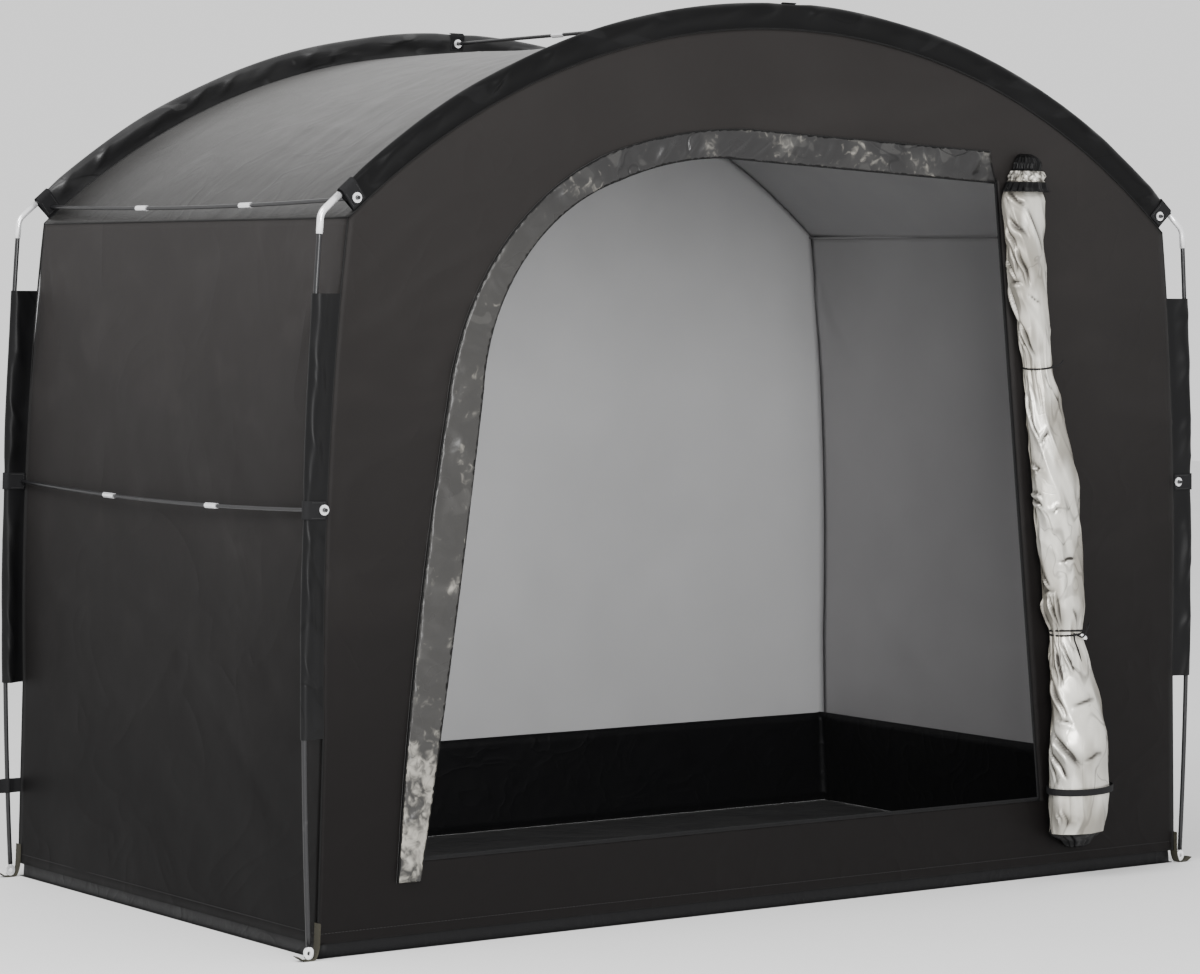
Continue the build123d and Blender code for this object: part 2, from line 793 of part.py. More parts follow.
flap_back = zip_thickness / 2 + seam_gap
with BuildPart() as flap:
    with BuildSketch(hoop_plane(front_y - flap_back)):
        add(flap_outline())
        add(door_outline(flap_show), mode=Mode.SUBTRACT)
        with Locations((0, sill_top_height - flap_show)):
            Rectangle(
                2 * door_left_foot - 2 * flap_show,
                4 * (sill_top_height - flap_bottom_height),
                mode=Mode.SUBTRACT,
            )
    extrude(amount=cloth)
write(flap, "door_storm_flap")

# Sections of the rolled door panel, from the top down: height, middle and half width
upper_tie = (upper_tie_height, upper_tie_middle, upper_tie_half_width)
lower_tie = (lower_tie_height, lower_tie_middle, lower_tie_half_width)
hem_band = (band_height, band_middle, band_half_width)
roll_sections = [
    (roll_top_height, roll_top_middle, roll_top_half_width),
    upper_tie,
    (belly_height, belly_middle, belly_half_width),
    lower_tie,
    (low_belly_height, low_belly_middle, low_belly_half_width),
    hem_band,
    (roll_bottom_height, roll_bottom_middle, roll_bottom_half_width),
]
cap_top = (cap_top_height, cap_top_middle, cap_top_half_width)
tail_top = (roll_bottom_height - seam_gap, tail_middle, tail_half_width)
tail_bottom = (tail_bottom_height, tail_middle, tail_half_width - tail_taper)


def roll_section(section, height, grow=0):
    """Section across the roll at a height, lying against the wall at its back."""
    _, middle, half_width = section
    half_depth = half_width * roll_flatness
    middle_y = front_y - roll_stand_off - half_depth
    corners_of_ring = round_points(
        middle, middle_y, half_width + grow, half_depth + grow, roll_flat_count
    )
    with BuildSketch(Plane.XY.offset(height)) as ring:
        with BuildLine():
            Polyline(*corners_of_ring, close=True)
        make_face()
    return ring.sketch


def tied_heights(section):
    """Heights at which a section is drawn: twice where a tie or band sits on a straight stretch."""
    if section in (upper_tie, lower_tie, hem_band):
        return section[0] + waist_half_height, section[0] - waist_half_height
    return (section[0],)


with BuildPart() as roll:
    rings = [roll_section(s, height) for s in roll_sections for height in tied_heights(s)]
    loft(sections=rings, ruled=True)
write(roll, "door_roll")

with BuildPart() as cap:
    top_ring = roll_section(roll_sections[0], roll_top_height + seam_gap)
    loft(sections=[top_ring, roll_section(cap_top, cap_top_height)], ruled=True)
write(cap, "door_roll_cap")

with BuildPart() as tail:
    tail_rings = [roll_section(section, section[0]) for section in (tail_top, tail_bottom)]
    loft(sections=tail_rings, ruled=True)
write(tail, "door_roll_tail")

with BuildPart() as ties:
    for section in (upper_tie, lower_tie):
        with BuildSketch(Plane.XY.offset(section[0] - tie_width / 2)):
            add(roll_section(section, 0, seam_gap + tie_thickness))
            add(roll_section(section, 0, seam_gap), mode=Mode.SUBTRACT)
        extrude(amount=tie_width)
    toggle_reach = roll_stand_off + 2 * lower_tie_half_width * roll_flatness + seam_gap + tie_thickness
    with Locations((lower_tie_middle, front_y - toggle_reach, lower_tie_height)):
        Cylinder(toggle_radius, toggle_length, rotation=(0, toggle_slant, 0))
write(ties, "door_ties")

with BuildPart() as band:
    with BuildSketch(Plane.XY.offset(band_height - band_width / 2)):
        add(roll_section(hem_band, 0, seam_gap + tie_thickness))
        add(roll_section(hem_band, 0, seam_gap), mode=Mode.SUBTRACT)
    extrude(amount=band_width)
write(band, "door_hem_band")
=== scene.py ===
"""Looks of a bike shelter: cloth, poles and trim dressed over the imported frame."""

import logging
from dataclasses import astuple, dataclass
from enum import Enum
from functools import partial
from math import asin, atan2, cos, exp, hypot, pi, sin, sqrt, tan
from typing import Callable, Sequence

import bmesh
import bpy
from mathutils import Matrix, Vector, noise


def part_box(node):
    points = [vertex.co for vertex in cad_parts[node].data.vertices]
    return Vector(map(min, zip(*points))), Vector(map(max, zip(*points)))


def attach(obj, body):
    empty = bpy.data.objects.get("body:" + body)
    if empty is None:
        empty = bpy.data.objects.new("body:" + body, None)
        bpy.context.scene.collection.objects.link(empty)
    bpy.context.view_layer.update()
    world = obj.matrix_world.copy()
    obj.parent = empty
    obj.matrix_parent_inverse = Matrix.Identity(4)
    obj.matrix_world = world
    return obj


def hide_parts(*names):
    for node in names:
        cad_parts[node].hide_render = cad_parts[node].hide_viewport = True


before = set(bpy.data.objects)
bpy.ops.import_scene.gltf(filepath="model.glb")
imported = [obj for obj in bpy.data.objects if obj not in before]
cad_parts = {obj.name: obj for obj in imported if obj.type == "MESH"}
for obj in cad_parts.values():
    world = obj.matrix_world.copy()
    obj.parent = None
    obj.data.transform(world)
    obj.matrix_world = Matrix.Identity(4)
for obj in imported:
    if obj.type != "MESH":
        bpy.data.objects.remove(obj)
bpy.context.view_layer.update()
LOG = logging.getLogger("shelter")

Triple = tuple[float, float, float]
Colour = Triple
Point = tuple[float, float]
Place = Callable[[float, float], Vector]
Line = Callable[[float], Vector]
Mesh = bmesh.types.BMesh
Piece = bpy.types.Object
Material = bpy.types.Material


class Way(Enum):
    """One of two ways from the shelter's middle, with its sign as its value."""

    @property
    def word(self) -> str:
        """The way as the nodes' names spell it."""
        return self.name.lower()


class Hand(Way):
    """A side of the shelter, as seen by someone who faces the doorway."""

    LEFT = -1
    RIGHT = 1


class End(Way):
    """An end of the shelter: the one with the doorway, or the plain one."""

    FRONT = -1
    BACK = 1


class Wire:
    """A node socket whose Python arithmetic adds Math nodes."""

    def __init__(self, graph: "Graph", socket: bpy.types.NodeSocket) -> None:
        """Keep the socket and the graph it belongs to."""
        self.graph = graph
        self.socket = socket

    def __add__(self, other: "Wire | float") -> "Wire":
        """Sum of two values."""
        return self.graph.maths("ADD", self, other)

    def __sub__(self, other: "Wire | float") -> "Wire":
        """This value less another."""
        return self.graph.maths("SUBTRACT", self, other)

    def __rsub__(self, other: float) -> "Wire":
        """A number less this value."""
        return self.graph.maths("SUBTRACT", other, self)

    def __mul__(self, other: "Wire | float") -> "Wire":
        """Product of two values."""
        return self.graph.maths("MULTIPLY", self, other)

    def __pow__(self, other: float) -> "Wire":
        """This value raised to a power."""
        return self.graph.maths("POWER", self, other)

    __radd__ = __add__
    __rmul__ = __mul__

    def wave(self) -> "Wire":
        """Sine of this value."""
        return self.graph.maths("SINE", self)

    def size(self) -> "Wire":
        """This value without its sign."""
        return self.graph.maths("ABSOLUTE", self)

    def step(self, low: float, high: float) -> "Wire":
        """Ease from 0 at low to 1 at high.

        Args:
            low: Value at which the result leaves 0.
            high: Value at which the result reaches 1.

        Returns:
            The eased value.
        """
        node = self.graph.node(
            "MapRange",
            {"interpolation_type": "SMOOTHSTEP"},
            {"Value": self, "From Min": low, "From Max": high},
        )
        return Wire(self.graph, node.outputs["Result"])


class Graph:
    """The nodes of one material, added one at a time."""

    def __init__(self, name: str) -> None:
        """Start an empty material."""
        self.material = bpy.data.materials.new(name)
        self.material.use_nodes = True
        self.tree = self.material.node_tree
        self.tree.nodes.clear()

    def node(self, kind: str, settings: dict | None = None, values: dict | None = None) -> bpy.types.Node:
        """Add one node.

        Args:
            kind: Type name of the node, after the word ShaderNode.
            settings: Attributes of the node, set before its sockets.
            values: Numbers, colours or wires for its sockets, by name or place.

        Returns:
            The new node.
        """
        made = self.tree.nodes.new("ShaderNode" + kind)
        for key, value in (settings or {}).items():
            setattr(made, key, value)
        for key, value in (values or {}).items():
            socket = made.inputs[key]
            if isinstance(value, Wire):
                self.tree.links.new(value.socket, socket)
            else:
                socket.default_value = value
        return made

    def maths(self, operation: str, left: "Wire | float", right: "Wire | float" = 0.0) -> Wire:
        """Join two values with a Math node."""
        made = self.node("Math", {"operation": operation}, {0: left, 1: right})
        return Wire(self, made.outputs[0])

    def coordinates(self, kind: str) -> Wire:
        """Coordinates of the surface: Object for place, UV for the cloth's own cut."""
        return Wire(self, self.node("TexCoord").outputs[kind])

    def split(self, vector: Wire) -> tuple[Wire, Wire, Wire]:
        """The three parts of a vector."""
        made = self.node("SeparateXYZ", None, {0: vector})
        return tuple(Wire(self, made.outputs[axis]) for axis in range(3))

    def stretch(self, vector: Wire, scale: Sequence[float], turn: Sequence[float] = (0, 0, 0)) -> Wire:
        """Turn and scale coordinates with a Mapping node."""
        made = self.node("Mapping", None, {"Vector": vector, "Scale": scale, "Rotation": turn})
        return Wire(self, made.outputs[0])

    def grain(self, vector: Wire, scale: float, detail: float = 3.0, rough: float = 0.5, warp: float = 0.0) -> Wire:
        """Noise between 0 and 1."""
        values = {"Vector": vector, "Scale": scale, "Detail": detail, "Roughness": rough, "Distortion": warp}
        return Wire(self, self.node("TexNoise", None, values).outputs[0])

    def warped(self, vector: Wire, scale: float, reach: float) -> Wire:
        """Coordinates pushed about by noise, so that straight patterns wander."""
        push = self.node("TexNoise", None, {"Vector": vector, "Scale": scale, "Detail": 2.0})
        sized = self.node("VectorMath", {"operation": "SCALE"}, {0: Wire(self, push.outputs[1]), 3: reach})
        moved = self.node("VectorMath", {"operation": "ADD"}, {0: vector, 1: Wire(self, sized.outputs[0])})
        return Wire(self, moved.outputs[0])

    def ridge(self, vector: Wire, scale: float, low: float = 0.955, high: float = 0.995, warp: float = 0.5) -> Wire:
        """Thin wandering lines, 1 on the line and 0 off it."""
        return (1 - (self.grain(vector, scale, 1.0, 0.4, warp) - 0.5).size() * 2).step(low, high)

    def mix(self, share: "Wire | float", low: "Wire | Colour", high: "Wire | Colour") -> Wire:
        """Mix two colours."""
        sides = [side if isinstance(side, Wire) else (*side, 1.0) for side in (low, high)]
        made = self.node("Mix", {"data_type": "RGBA"}, {0: share, 6: sides[0], 7: sides[1]})
        return Wire(self, made.outputs[2])

    def relief(self, height: Wire, strength: float, distance: float) -> Wire:
        """Normal bent by a height."""
        made = self.node("Bump", None, {"Height": height, "Strength": strength, "Distance": distance})
        return Wire(self, made.outputs[0])

    def finish(self, values: dict) -> Material:
        """Close the material with a Principled shader.

        Args:
            values: Numbers, colours or wires for the shader's sockets.

        Returns:
            The finished material.
        """
        shader = self.node("BsdfPrincipled", None, values)
        output = self.node("OutputMaterial")
        self.tree.links.new(shader.outputs[0], output.inputs[0])
        return self.material


@dataclass(frozen=True)
class CoatedCloth:
    """Dark coated cloth: a plain weave with soft creases, with painted shade that darkens it towards the ground."""

    name: str
    tone: Colour
    low_tone: Colour
    fade: Point = (0.1, 1.2)
    roughness: float = 0.55
    crease_size: float = 0.07
    crease_height: float = 0.004
    crease_strength: float = 0.35
    weave: float = 0.0011
    gloss: float = 0.15
    streak: float = 0.3
    streak_turn: Triple = (0.0, 0.5, 0.0)

    def material(self) -> Material:
        """Build the finish."""
        graph = Graph(self.name)
        place = graph.coordinates("Object")
        across, along, _ = graph.split(graph.coordinates("UV"))
        threads = (across * (2 * pi / self.weave)).wave() * (along * (2 * pi / self.weave)).wave()
        creases = graph.grain(place, 1 / self.crease_size, 4.0, 0.45, 0.4)
        folds = 1 - (graph.grain(place, 0.35 / self.crease_size, 2.0, 0.5, 1.0) - 0.5).size() * 2
        height = creases + folds ** 6 * 0.6 + threads * 0.02
        # Painted shade: the tone darkens from the upper height down to low_tone at the lower one, standing in for less
        # light low down.
        fade = graph.split(place)[2].step(*self.fade)
        tone = graph.mix(fade, self.low_tone, self.tone)
        # Painted highlights: streaks mixed towards a lighter, lit copy of the tone.
        streaks = graph.grain(graph.stretch(place, (0.28, 1.0, 1.0), self.streak_turn), 9.0, 2.0, 0.5, 0.3)
        lit = tuple(part * 1.5 for part in self.tone)
        tone = graph.mix(streaks.step(0.5, 0.75) * self.streak * fade, tone, lit)
        dull = tuple(part * 0.6 for part in self.low_tone)
        tone = graph.mix(graph.grain(place, 4.0, 2.0) * 0.3 + threads * 0.05, tone, dull)
        return graph.finish({
            "Base Color": tone,
            "Roughness": creases * 0.12 + (self.roughness - 0.06),
            "Specular IOR Level": self.gloss,
            "Sheen Weight": 0.03,
            "Sheen Roughness": 0.5,
            "Normal": graph.relief(height, self.crease_strength, self.crease_height),
        })


@dataclass(frozen=True)
class GlossyCloth:
    """Thin satin nylon: smooth, with soft folds and a few sharp creases, painted highlights and sheen on the folds and
    painted shade in the creases.
    """

    name: str
    tone: Colour
    fold_tone: Colour
    low_tone: Colour | None = None
    silver: Colour | None = None
    low_heights: Point = (1.36, 1.1)
    silver_heights: Point = (0.62, 0.12)
    roughness: float = 0.34
    gloss: float = 0.25
    fold_size: float = 0.05
    ratio: float = 0.4
    turn: Triple = (0.0, 0.6, 0.0)
    depth: float = 0.004
    strength: float = 0.35
    sheen: float = 0.3

    def material(self) -> Material:
        """Build the finish."""
        graph = Graph(self.name)
        plain = graph.coordinates("Object")
        place = graph.warped(graph.stretch(plain, (self.ratio, 1.0, 1.0), self.turn), 7.0, 0.03)
        soft = graph.grain(place, 0.7 / self.fold_size, 2.0, 0.4, 0.5)
        broad = graph.grain(plain, 0.35 / self.fold_size, 1.0, 0.4, 0.3)
        fine = graph.grain(plain, 3 / self.fold_size, 3.0, 0.5, 0.8)
        crease = graph.ridge(place, 0.55 / self.fold_size) * broad.step(0.5, 0.62)
        sheen = graph.grain(place, 0.9 / self.fold_size, 1.0, 0.4, 1.2).step(0.62, 0.66) * broad.step(0.4, 0.56)
        tone: Wire | Colour = self.tone
        height = graph.split(plain)[2]
        if self.low_tone:
            tone = graph.mix(height.step(*self.low_heights), tone, self.low_tone)
        if self.silver:
            share = height.step(*self.silver_heights) * 0.24 + soft * 0.5 + fine * 0.5
            tone = graph.mix(share.step(0.56, 0.78), tone, self.silver)
        # Painted highlight and sheen: the soft folds and sheen patches are mixed towards a lighter tone.
        tone = graph.mix(soft.step(0.5, 0.8) * 0.25 + sheen * self.sheen, tone, self.fold_tone)
        # Painted shade: the creases are darkened.
        tone = graph.mix(crease * 0.6, tone, tuple(part * 0.35 for part in self.tone))
        return graph.finish({
            "Base Color": tone,
            "Roughness": soft * 0.2 + (self.roughness - 0.1),
            "Specular IOR Level": self.gloss,
            "Normal": graph.relief(soft + fine * 0.1 - crease * 0.2, self.strength, self.depth),
        })


@dataclass(frozen=True)
class SilverLining:
    """Silver-coated lining: smooth and softly creased, with painted reflections and shade in soft patches and painted
    shade in its creases and in the folds marked on the mesh.
    """

    name: str
    bright: Colour = (0.8, 0.78, 0.71)
    middle: Colour = (0.27, 0.25, 0.21)
    shade: Colour = (0.03, 0.026, 0.022)
    size: float = 0.05
    depth: float = 0.005
    roughness: float = 0.3
    metal: float = 0.55

    def material(self) -> Material:
        """Build the finish."""
        graph = Graph(self.name)
        plain = graph.coordinates("Object")
        long = graph.warped(graph.stretch(plain, (1.0, 1.0, 0.36), (0.0, -0.34, 0.0)), 9.0, 0.03)
        soft = graph.grain(long, 0.8 / self.size, 2.0, 0.42, 0.5)
        broad = graph.grain(plain, 0.3 / self.size, 1.0, 0.4, 0.3)
        fine = graph.grain(plain, 150.0, 3.0)
        crease = graph.ridge(long, 0.7 / self.size, 0.95, 0.995) * broad.step(0.48, 0.6)
        short = graph.ridge(graph.stretch(plain, (1.0, 1.0, 0.7), (0.0, 0.7, 0.0)), 1.3 / self.size, 0.94, 0.99)
        folded = Wire(graph, graph.node("Attribute", {"attribute_name": "Fold"}).outputs["Fac"])
        # Painted reflections and shade: soft patches mixed from the bright tone to a darker middle tone.
        tone = graph.mix(soft.step(0.42, 0.62) * 0.75 + broad * 0.2, self.bright, self.middle)
        # Painted shade: the creases and the folds marked in the Fold attribute are darkened towards the shade tone.
        marks = crease * 0.4 + short * broad.step(0.56, 0.64) * 0.3 + folded.step(0.02, 1.0) * 0.95
        tone = graph.mix(marks, tone, self.shade)
        height = soft - crease * 0.2 - short * 0.06 + fine * 0.02
        return graph.finish({
            "Base Color": tone,
            "Roughness": soft * 0.25 + fine * 0.06 + (self.roughness - 0.12),
            "Metallic": self.metal,
            "Normal": graph.relief(height, 0.5, self.depth),
        })


@dataclass(frozen=True)
class InnerFace:
    """The smooth grey inner face of the cover, with painted light that makes it lighter towards the top."""

    name: str
    tone: Colour
    high_tone: Colour
    heights: Point = (0.7, 1.6)

    def material(self) -> Material:
        """Build the finish."""
        graph = Graph(self.name)
        place = graph.coordinates("Object")
        creases = graph.grain(place, 9.0, 3.0, 0.4, 0.3)
        soft = graph.grain(place, 2.2, 2.0, 0.4, 0.2)
        # Painted light: the face lightens from the lower height up to the upper one.
        tone = graph.mix(graph.split(place)[2].step(*self.heights), self.tone, self.high_tone)
        dull = tuple(part * 0.8 for part in self.tone)
        return graph.finish({
            "Base Color": graph.mix(creases * 0.4 + soft.step(0.35, 0.75) * 0.3, tone, dull),
            "Roughness": creases * 0.1 + 0.5,
            "Normal": graph.relief(creases, 0.12, 0.004),
        })


@dataclass(frozen=True)
class Enamel:
    """Satin-painted steel with faint drawing marks and worn patches."""

    name: str
    tone: Colour
    worn: Colour
    roughness: float = 0.32
    metal: float = 0.2

    def material(self) -> Material:
        """Build the finish."""
        graph = Graph(self.name)
        place = graph.coordinates("Object")
        marks = graph.grain(graph.stretch(place, (1, 1, 0.06)), 420.0, 3.0)
        wear = graph.grain(place, 60.0, 4.0, 0.6).step(0.6, 0.75)
        return graph.finish({
            "Base Color": graph.mix(wear * 0.5, self.tone, self.worn),
            "Roughness": marks * 0.16 + (self.roughness - 0.08),
            "Metallic": self.metal,
            "Normal": graph.relief(marks, 0.12, 0.0004),
        })


@dataclass(frozen=True)
class Webbing:
    """Woven tape: ribs across it and a matt tone."""

    name: str
    tone: Colour
    rib_tone: Colour
    pitch: float = 0.0022
    roughness: float = 0.7

    def material(self) -> Material:
        """Build the finish."""
        graph = Graph(self.name)
        side, depth, up = graph.split(graph.coordinates("Object"))
        ribs = ((side + depth * 0.6 + up * 0.8) * (2 * pi / self.pitch)).wave()
        cross = ((side - depth * 0.6 - up * 0.9) * (2 * pi / self.pitch)).wave()
        fuzz = graph.grain(graph.coordinates("Object"), 900.0, 2.0)
        height = ribs * cross * 0.5 + fuzz
        return graph.finish({
            "Base Color": graph.mix(height * 0.5, self.tone, self.rib_tone),
            "Roughness": fuzz * 0.1 + self.roughness,
            "Specular IOR Level": 0.2,
            "Normal": graph.relief(height, 0.4, 0.0006),
        })


# One black cloth covers walls and roof: the front wall's tone is a darker copy of the sides' (painted shade) and the
# roof's a lighter copy (painted light).
SHADED_FRONT_CLOTH = CoatedCloth(
    "front_cloth", (0.0165, 0.0148, 0.0142), (0.0035, 0.0027, 0.0026), (0.1, 1.45), gloss=0.11
)
SIDE_CLOTH = CoatedCloth(
    "side_cloth", (0.026, 0.0238, 0.0233), (0.001, 0.0007, 0.0007), (0.1, 1.35), gloss=0.05, crease_size=0.1
)
LIT_ROOF_CLOTH = CoatedCloth(
    "roof_cloth", (0.11, 0.108, 0.106), (0.006, 0.0055, 0.005), (1.2, 1.64), 0.42, 0.05, 0.003, 0.45, 0.0011, 0.3
)
SEAM_CLOTH = CoatedCloth("seam_cloth", (0.004, 0.004, 0.004), (0.002, 0.002, 0.002), (0.1, 1.2), 0.5, 0.02, 0.001)
SLEEVE_CLOTH = GlossyCloth("sleeve_cloth", (0.0025, 0.0025, 0.0027), (0.011, 0.011, 0.0115), gloss=0.12, strength=0.25)
BACK_SLEEVE_CLOTH = GlossyCloth("back_sleeve_cloth", (0.012, 0.012, 0.0125), (0.07, 0.07, 0.07), gloss=0.4)
SIDE_SLEEVE_CLOTH = GlossyCloth(
    "leg_sleeve_cloth", (0.0045, 0.0045, 0.0048), (0.013, 0.013, 0.0135),
    roughness=0.42, gloss=0.14, fold_size=0.08, ratio=1.0, turn=(0.0, 0.3, 0.0), sheen=0.1,
)
FLAP_CLOTH = GlossyCloth(
    "flap_cloth", (0.0155, 0.015, 0.0152), (0.1, 0.098, 0.092), (0.03, 0.029, 0.0275), (0.3, 0.285, 0.25),
    (1.4, 1.15), (0.55, 0.05), 0.3, 0.35, 0.05, 0.8, (0.0, -0.6, 0.0), 0.008, 0.7, 0.2,
)
ROLL_LINING = SilverLining("roll_lining")
# Painted light: the back wall's inner face is a lighter copy of the same lining, for the light that comes in through
# the doorway.
LIT_BACK_LINER = InnerFace("back_liner", (0.43, 0.43, 0.435), (0.49, 0.49, 0.495))
SIDE_LINER = InnerFace("side_liner", (0.27, 0.265, 0.27), (0.3, 0.3, 0.3))
GROUND_CLOTH = CoatedCloth(
    "ground_cloth", (0.004, 0.004, 0.0045), (0.004, 0.004, 0.0045), (0.0, 1.0), 0.5, 0.04, 0.003, 0.5
)
POLE_PAINT = Enamel("pole_paint", (0.012, 0.012, 0.013), (0.05, 0.05, 0.05))
BRIGHT_STEEL = Enamel("bright_steel", (0.88, 0.88, 0.89), (0.6, 0.6, 0.6), 0.24, 0.6)
BLACK_WEBBING = Webbing("black_webbing", (0.004, 0.004, 0.0045), (0.014, 0.014, 0.015))
OLIVE_WEBBING = Webbing("olive_webbing", (0.03, 0.028, 0.019), (0.06, 0.056, 0.042))
ZIP_TAPE = Webbing("zip_tape", (0.005, 0.005, 0.0055), (0.014, 0.014, 0.014), 0.0016)
STITCH = Enamel("stitch_thread", (0.02, 0.02, 0.02), (0.04, 0.04, 0.04), 0.6, 0.0)

_made: dict[str, Material] = {}


def dressed(finish: CoatedCloth | GlossyCloth | SilverLining | InnerFace | Enamel | Webbing) -> Material:
    """The material of a finish, built once."""
    if finish.name not in _made:
        _made[finish.name] = finish.material()
    return _made[finish.name]


def ripple(x: float, z: float, size: float, seed: float) -> float:
    """Smooth bumps of about -1 to 1, size apart."""
    return noise.noise(Vector((x / size, z / size, seed)))


def fold(x: float, z: float, size: float, seed: float, sharp: float = 3.0) -> float:
    """Narrow ridges between 0 and 1, about size apart."""
    return max(0.0, 1 - abs(ripple(x, z, size, seed)) * 2.4) ** sharp


def clamp(value: float) -> float:
    """The value, kept between 0 and 1."""
    return min(1.0, max(0.0, value))


def smooth(share: float) -> float:
    """A share with a soft start and end."""
    return share * share * (3 - 2 * share)


def inland(share: float, rise: float) -> float:
    """0 at both edges of a cloth and 1 further in, with the rise from one to the other."""
    return min(1.0, rise * share, rise * (1 - share))


def slanted(x: float, z: float, angle: float, ratio: float) -> Point:
    """Turn a point and shrink it along the turned axis, so that noise runs out in streaks.

    Args:
        x: First coordinate.
        z: Second coordinate.
        angle: Direction of the streaks, in radians.
        ratio: How many times longer than wide the streaks are.

    Returns:
        The turned and shrunk point.
    """
    return (x * cos(angle) + z * sin(angle)) / ratio, z * cos(angle) - x * sin(angle)


@dataclass(frozen=True)
class Streaks:
    """Narrow folds in streaks: their direction, length to width, size, sharpness, height and seed."""

    angle: float
    ratio: float
    size: float
    sharp: float
    height: float
    seed: float = 0.0

    def at(self, x: float, z: float, seed: float = 0.0) -> float:
        """Height of the folds at a point of the cloth."""
        return fold(*slanted(x, z, self.angle, self.ratio), self.size, self.seed + seed, self.sharp) * self.height


@dataclass(frozen=True)
class Stretch:
    """One stretch of an outline: a line, or an arc where it has a middle point."""

    start: Point
    end: Point
    middle: Point | None = None

    def circle(self) -> Triple:
        """Middle and radius of the arc through the three points."""
        (ax, ay), (bx, by), (cx, cy) = self.start, self.middle, self.end
        twice = 2 * (ax * (by - cy) + bx * (cy - ay) + cx * (ay - by))
        a, b, c = ax * ax + ay * ay, bx * bx + by * by, cx * cx + cy * cy
        x = (a * (by - cy) + b * (cy - ay) + c * (ay - by)) / twice
        y = (a * (cx - bx) + b * (ax - cx) + c * (bx - ax)) / twice
        return x, y, sqrt((ax - x) ** 2 + (ay - y) ** 2)

    def at(self, share: float) -> Point:
        """Point at a share of the stretch's length."""
        if self.middle is None:
            return tuple(a + (b - a) * share for a, b in zip(self.start, self.end))
        x, y, radius = self.circle()
        turns = [atan2(py - y, px - x) for px, py in (self.start, self.middle, self.end)]
        first = (turns[1] - turns[0] + pi) % (2 * pi) - pi
        second = (turns[2] - turns[1] + pi) % (2 * pi) - pi
        turn = turns[0] + (first + second) * share
        return x + radius * cos(turn), y + radius * sin(turn)

    def cut(self, *shares: float) -> "list[Stretch]":
        """The stretch cut in parts, at some shares of it."""
        parts = []
        for start, end in zip((0.0, *shares), (*shares, 1.0)):
            middle = None if self.middle is None else self.at((start + end) / 2)
            parts.append(Stretch(self.at(start), self.at(end), middle))
        return parts

    def length(self) -> float:
        """Rough length of the stretch."""
        points = [Vector(self.at(step / 8)) for step in range(9)]
        return sum((b - a).length for a, b in zip(points, points[1:]))


@dataclass(frozen=True)
class Hoop:
    """Shape of one pole hoop and of the cover inside it, in metres."""

    foot_half_span: float = 1.018
    foot_height: float = 0.024
    leg_bow: float = 0.0188
    arch_radius: float = 1.466
    apex_height: float = 1.652
    shoulder_half_span: float = 0.9984
    elbow_leg_run: float = 0.034
    elbow_arch_run: float = 0.049
    seam_drop: float = 0.04
    hem_height: float = 0.025
    wall_top: float = 0.944
    wall_middle: Point = (0.985, 0.765)
    wall_low: Point = (0.99, 0.375)
    wall_hem: float = 1.0
    pole_radius: float = 0.0045

    @property
    def arch_z(self) -> float:
        """Height of the arch's centre."""
        return self.apex_height - self.arch_radius

    @property
    def seam_radius(self) -> float:
        """Radius of the seam between the roof and the end walls."""
        return self.arch_radius - self.seam_drop

    @property
    def wall_top_height(self) -> float:
        """Height at which a side wall meets the roof."""
        return self.arch_z + sqrt(self.seam_radius**2 - self.wall_top**2)

    @property
    def shoulder_height(self) -> float:
        """Height at which the leg's line meets the arch."""
        return self.arch_z + sqrt(self.arch_radius**2 - self.shoulder_half_span**2)

    @property
    def leg(self) -> Stretch:
        """Centre line of a leg, from the foot to the shoulder."""
        middle = ((self.foot_half_span + self.shoulder_half_span) / 2 + self.leg_bow,
                  (self.foot_height + self.shoulder_height) / 2)
        return Stretch((self.foot_half_span, self.foot_height),
                       (self.shoulder_half_span, self.shoulder_height), middle)

    @property
    def elbow_angle(self) -> float:
        """Angle from upright at which the elbow ends on the arch."""
        return asin(self.shoulder_half_span / self.arch_radius) - self.elbow_arch_run / self.arch_radius

    @property
    def seam_angle(self) -> float:
        """Angle from upright at which the roof meets the side wall."""
        return asin(self.wall_top / self.seam_radius)

    def leg_x(self, height: float) -> float:
        """Half span of the leg's centre line at a height."""
        x, z, radius = self.leg.circle()
        return x + sqrt(radius**2 - (height - z) ** 2)

    def wall_x(self, height: float) -> float:
        """Half span of the cover's corner at a height."""
        if height < self.wall_low[1]:
            drop = (self.wall_low[1] - height) / (self.wall_low[1] - self.hem_height)
            return self.wall_low[0] + drop * (self.wall_hem - self.wall_low[0])
        corner = Stretch((self.wall_top, self.wall_top_height), self.wall_low, self.wall_middle)
        x, z, radius = corner.circle()
        return x + sqrt(radius**2 - (height - z) ** 2)

    def on_arch(self, radius: float, angle: float) -> Point:
        """Point at a radius from the arch's centre and an angle from upright."""
        return radius * sin(angle), self.arch_z + radius * cos(angle)


HOOP = Hoop()


def hoop_depth(end: End) -> float:
    """Depth of a hoop's plane, read from its arch pole."""
    low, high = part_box(f"{end.word}_arch_pole")
    return (low.y + high.y) / 2


HOOP_Y = {end: hoop_depth(end) for end in End}
FRONT_Y, BACK_Y = HOOP_Y[End.FRONT], HOOP_Y[End.BACK]
SKIN = 0.0012
HALF_SKIN = SKIN / 2
END_WALL_GAP = 0.0009
MIDDLE_Y = (FRONT_Y + BACK_Y) / 2
HALF_DEPTH = (BACK_Y - FRONT_Y) / 2 - END_WALL_GAP
HEART = Vector((0, MIDDLE_Y, 0.75))


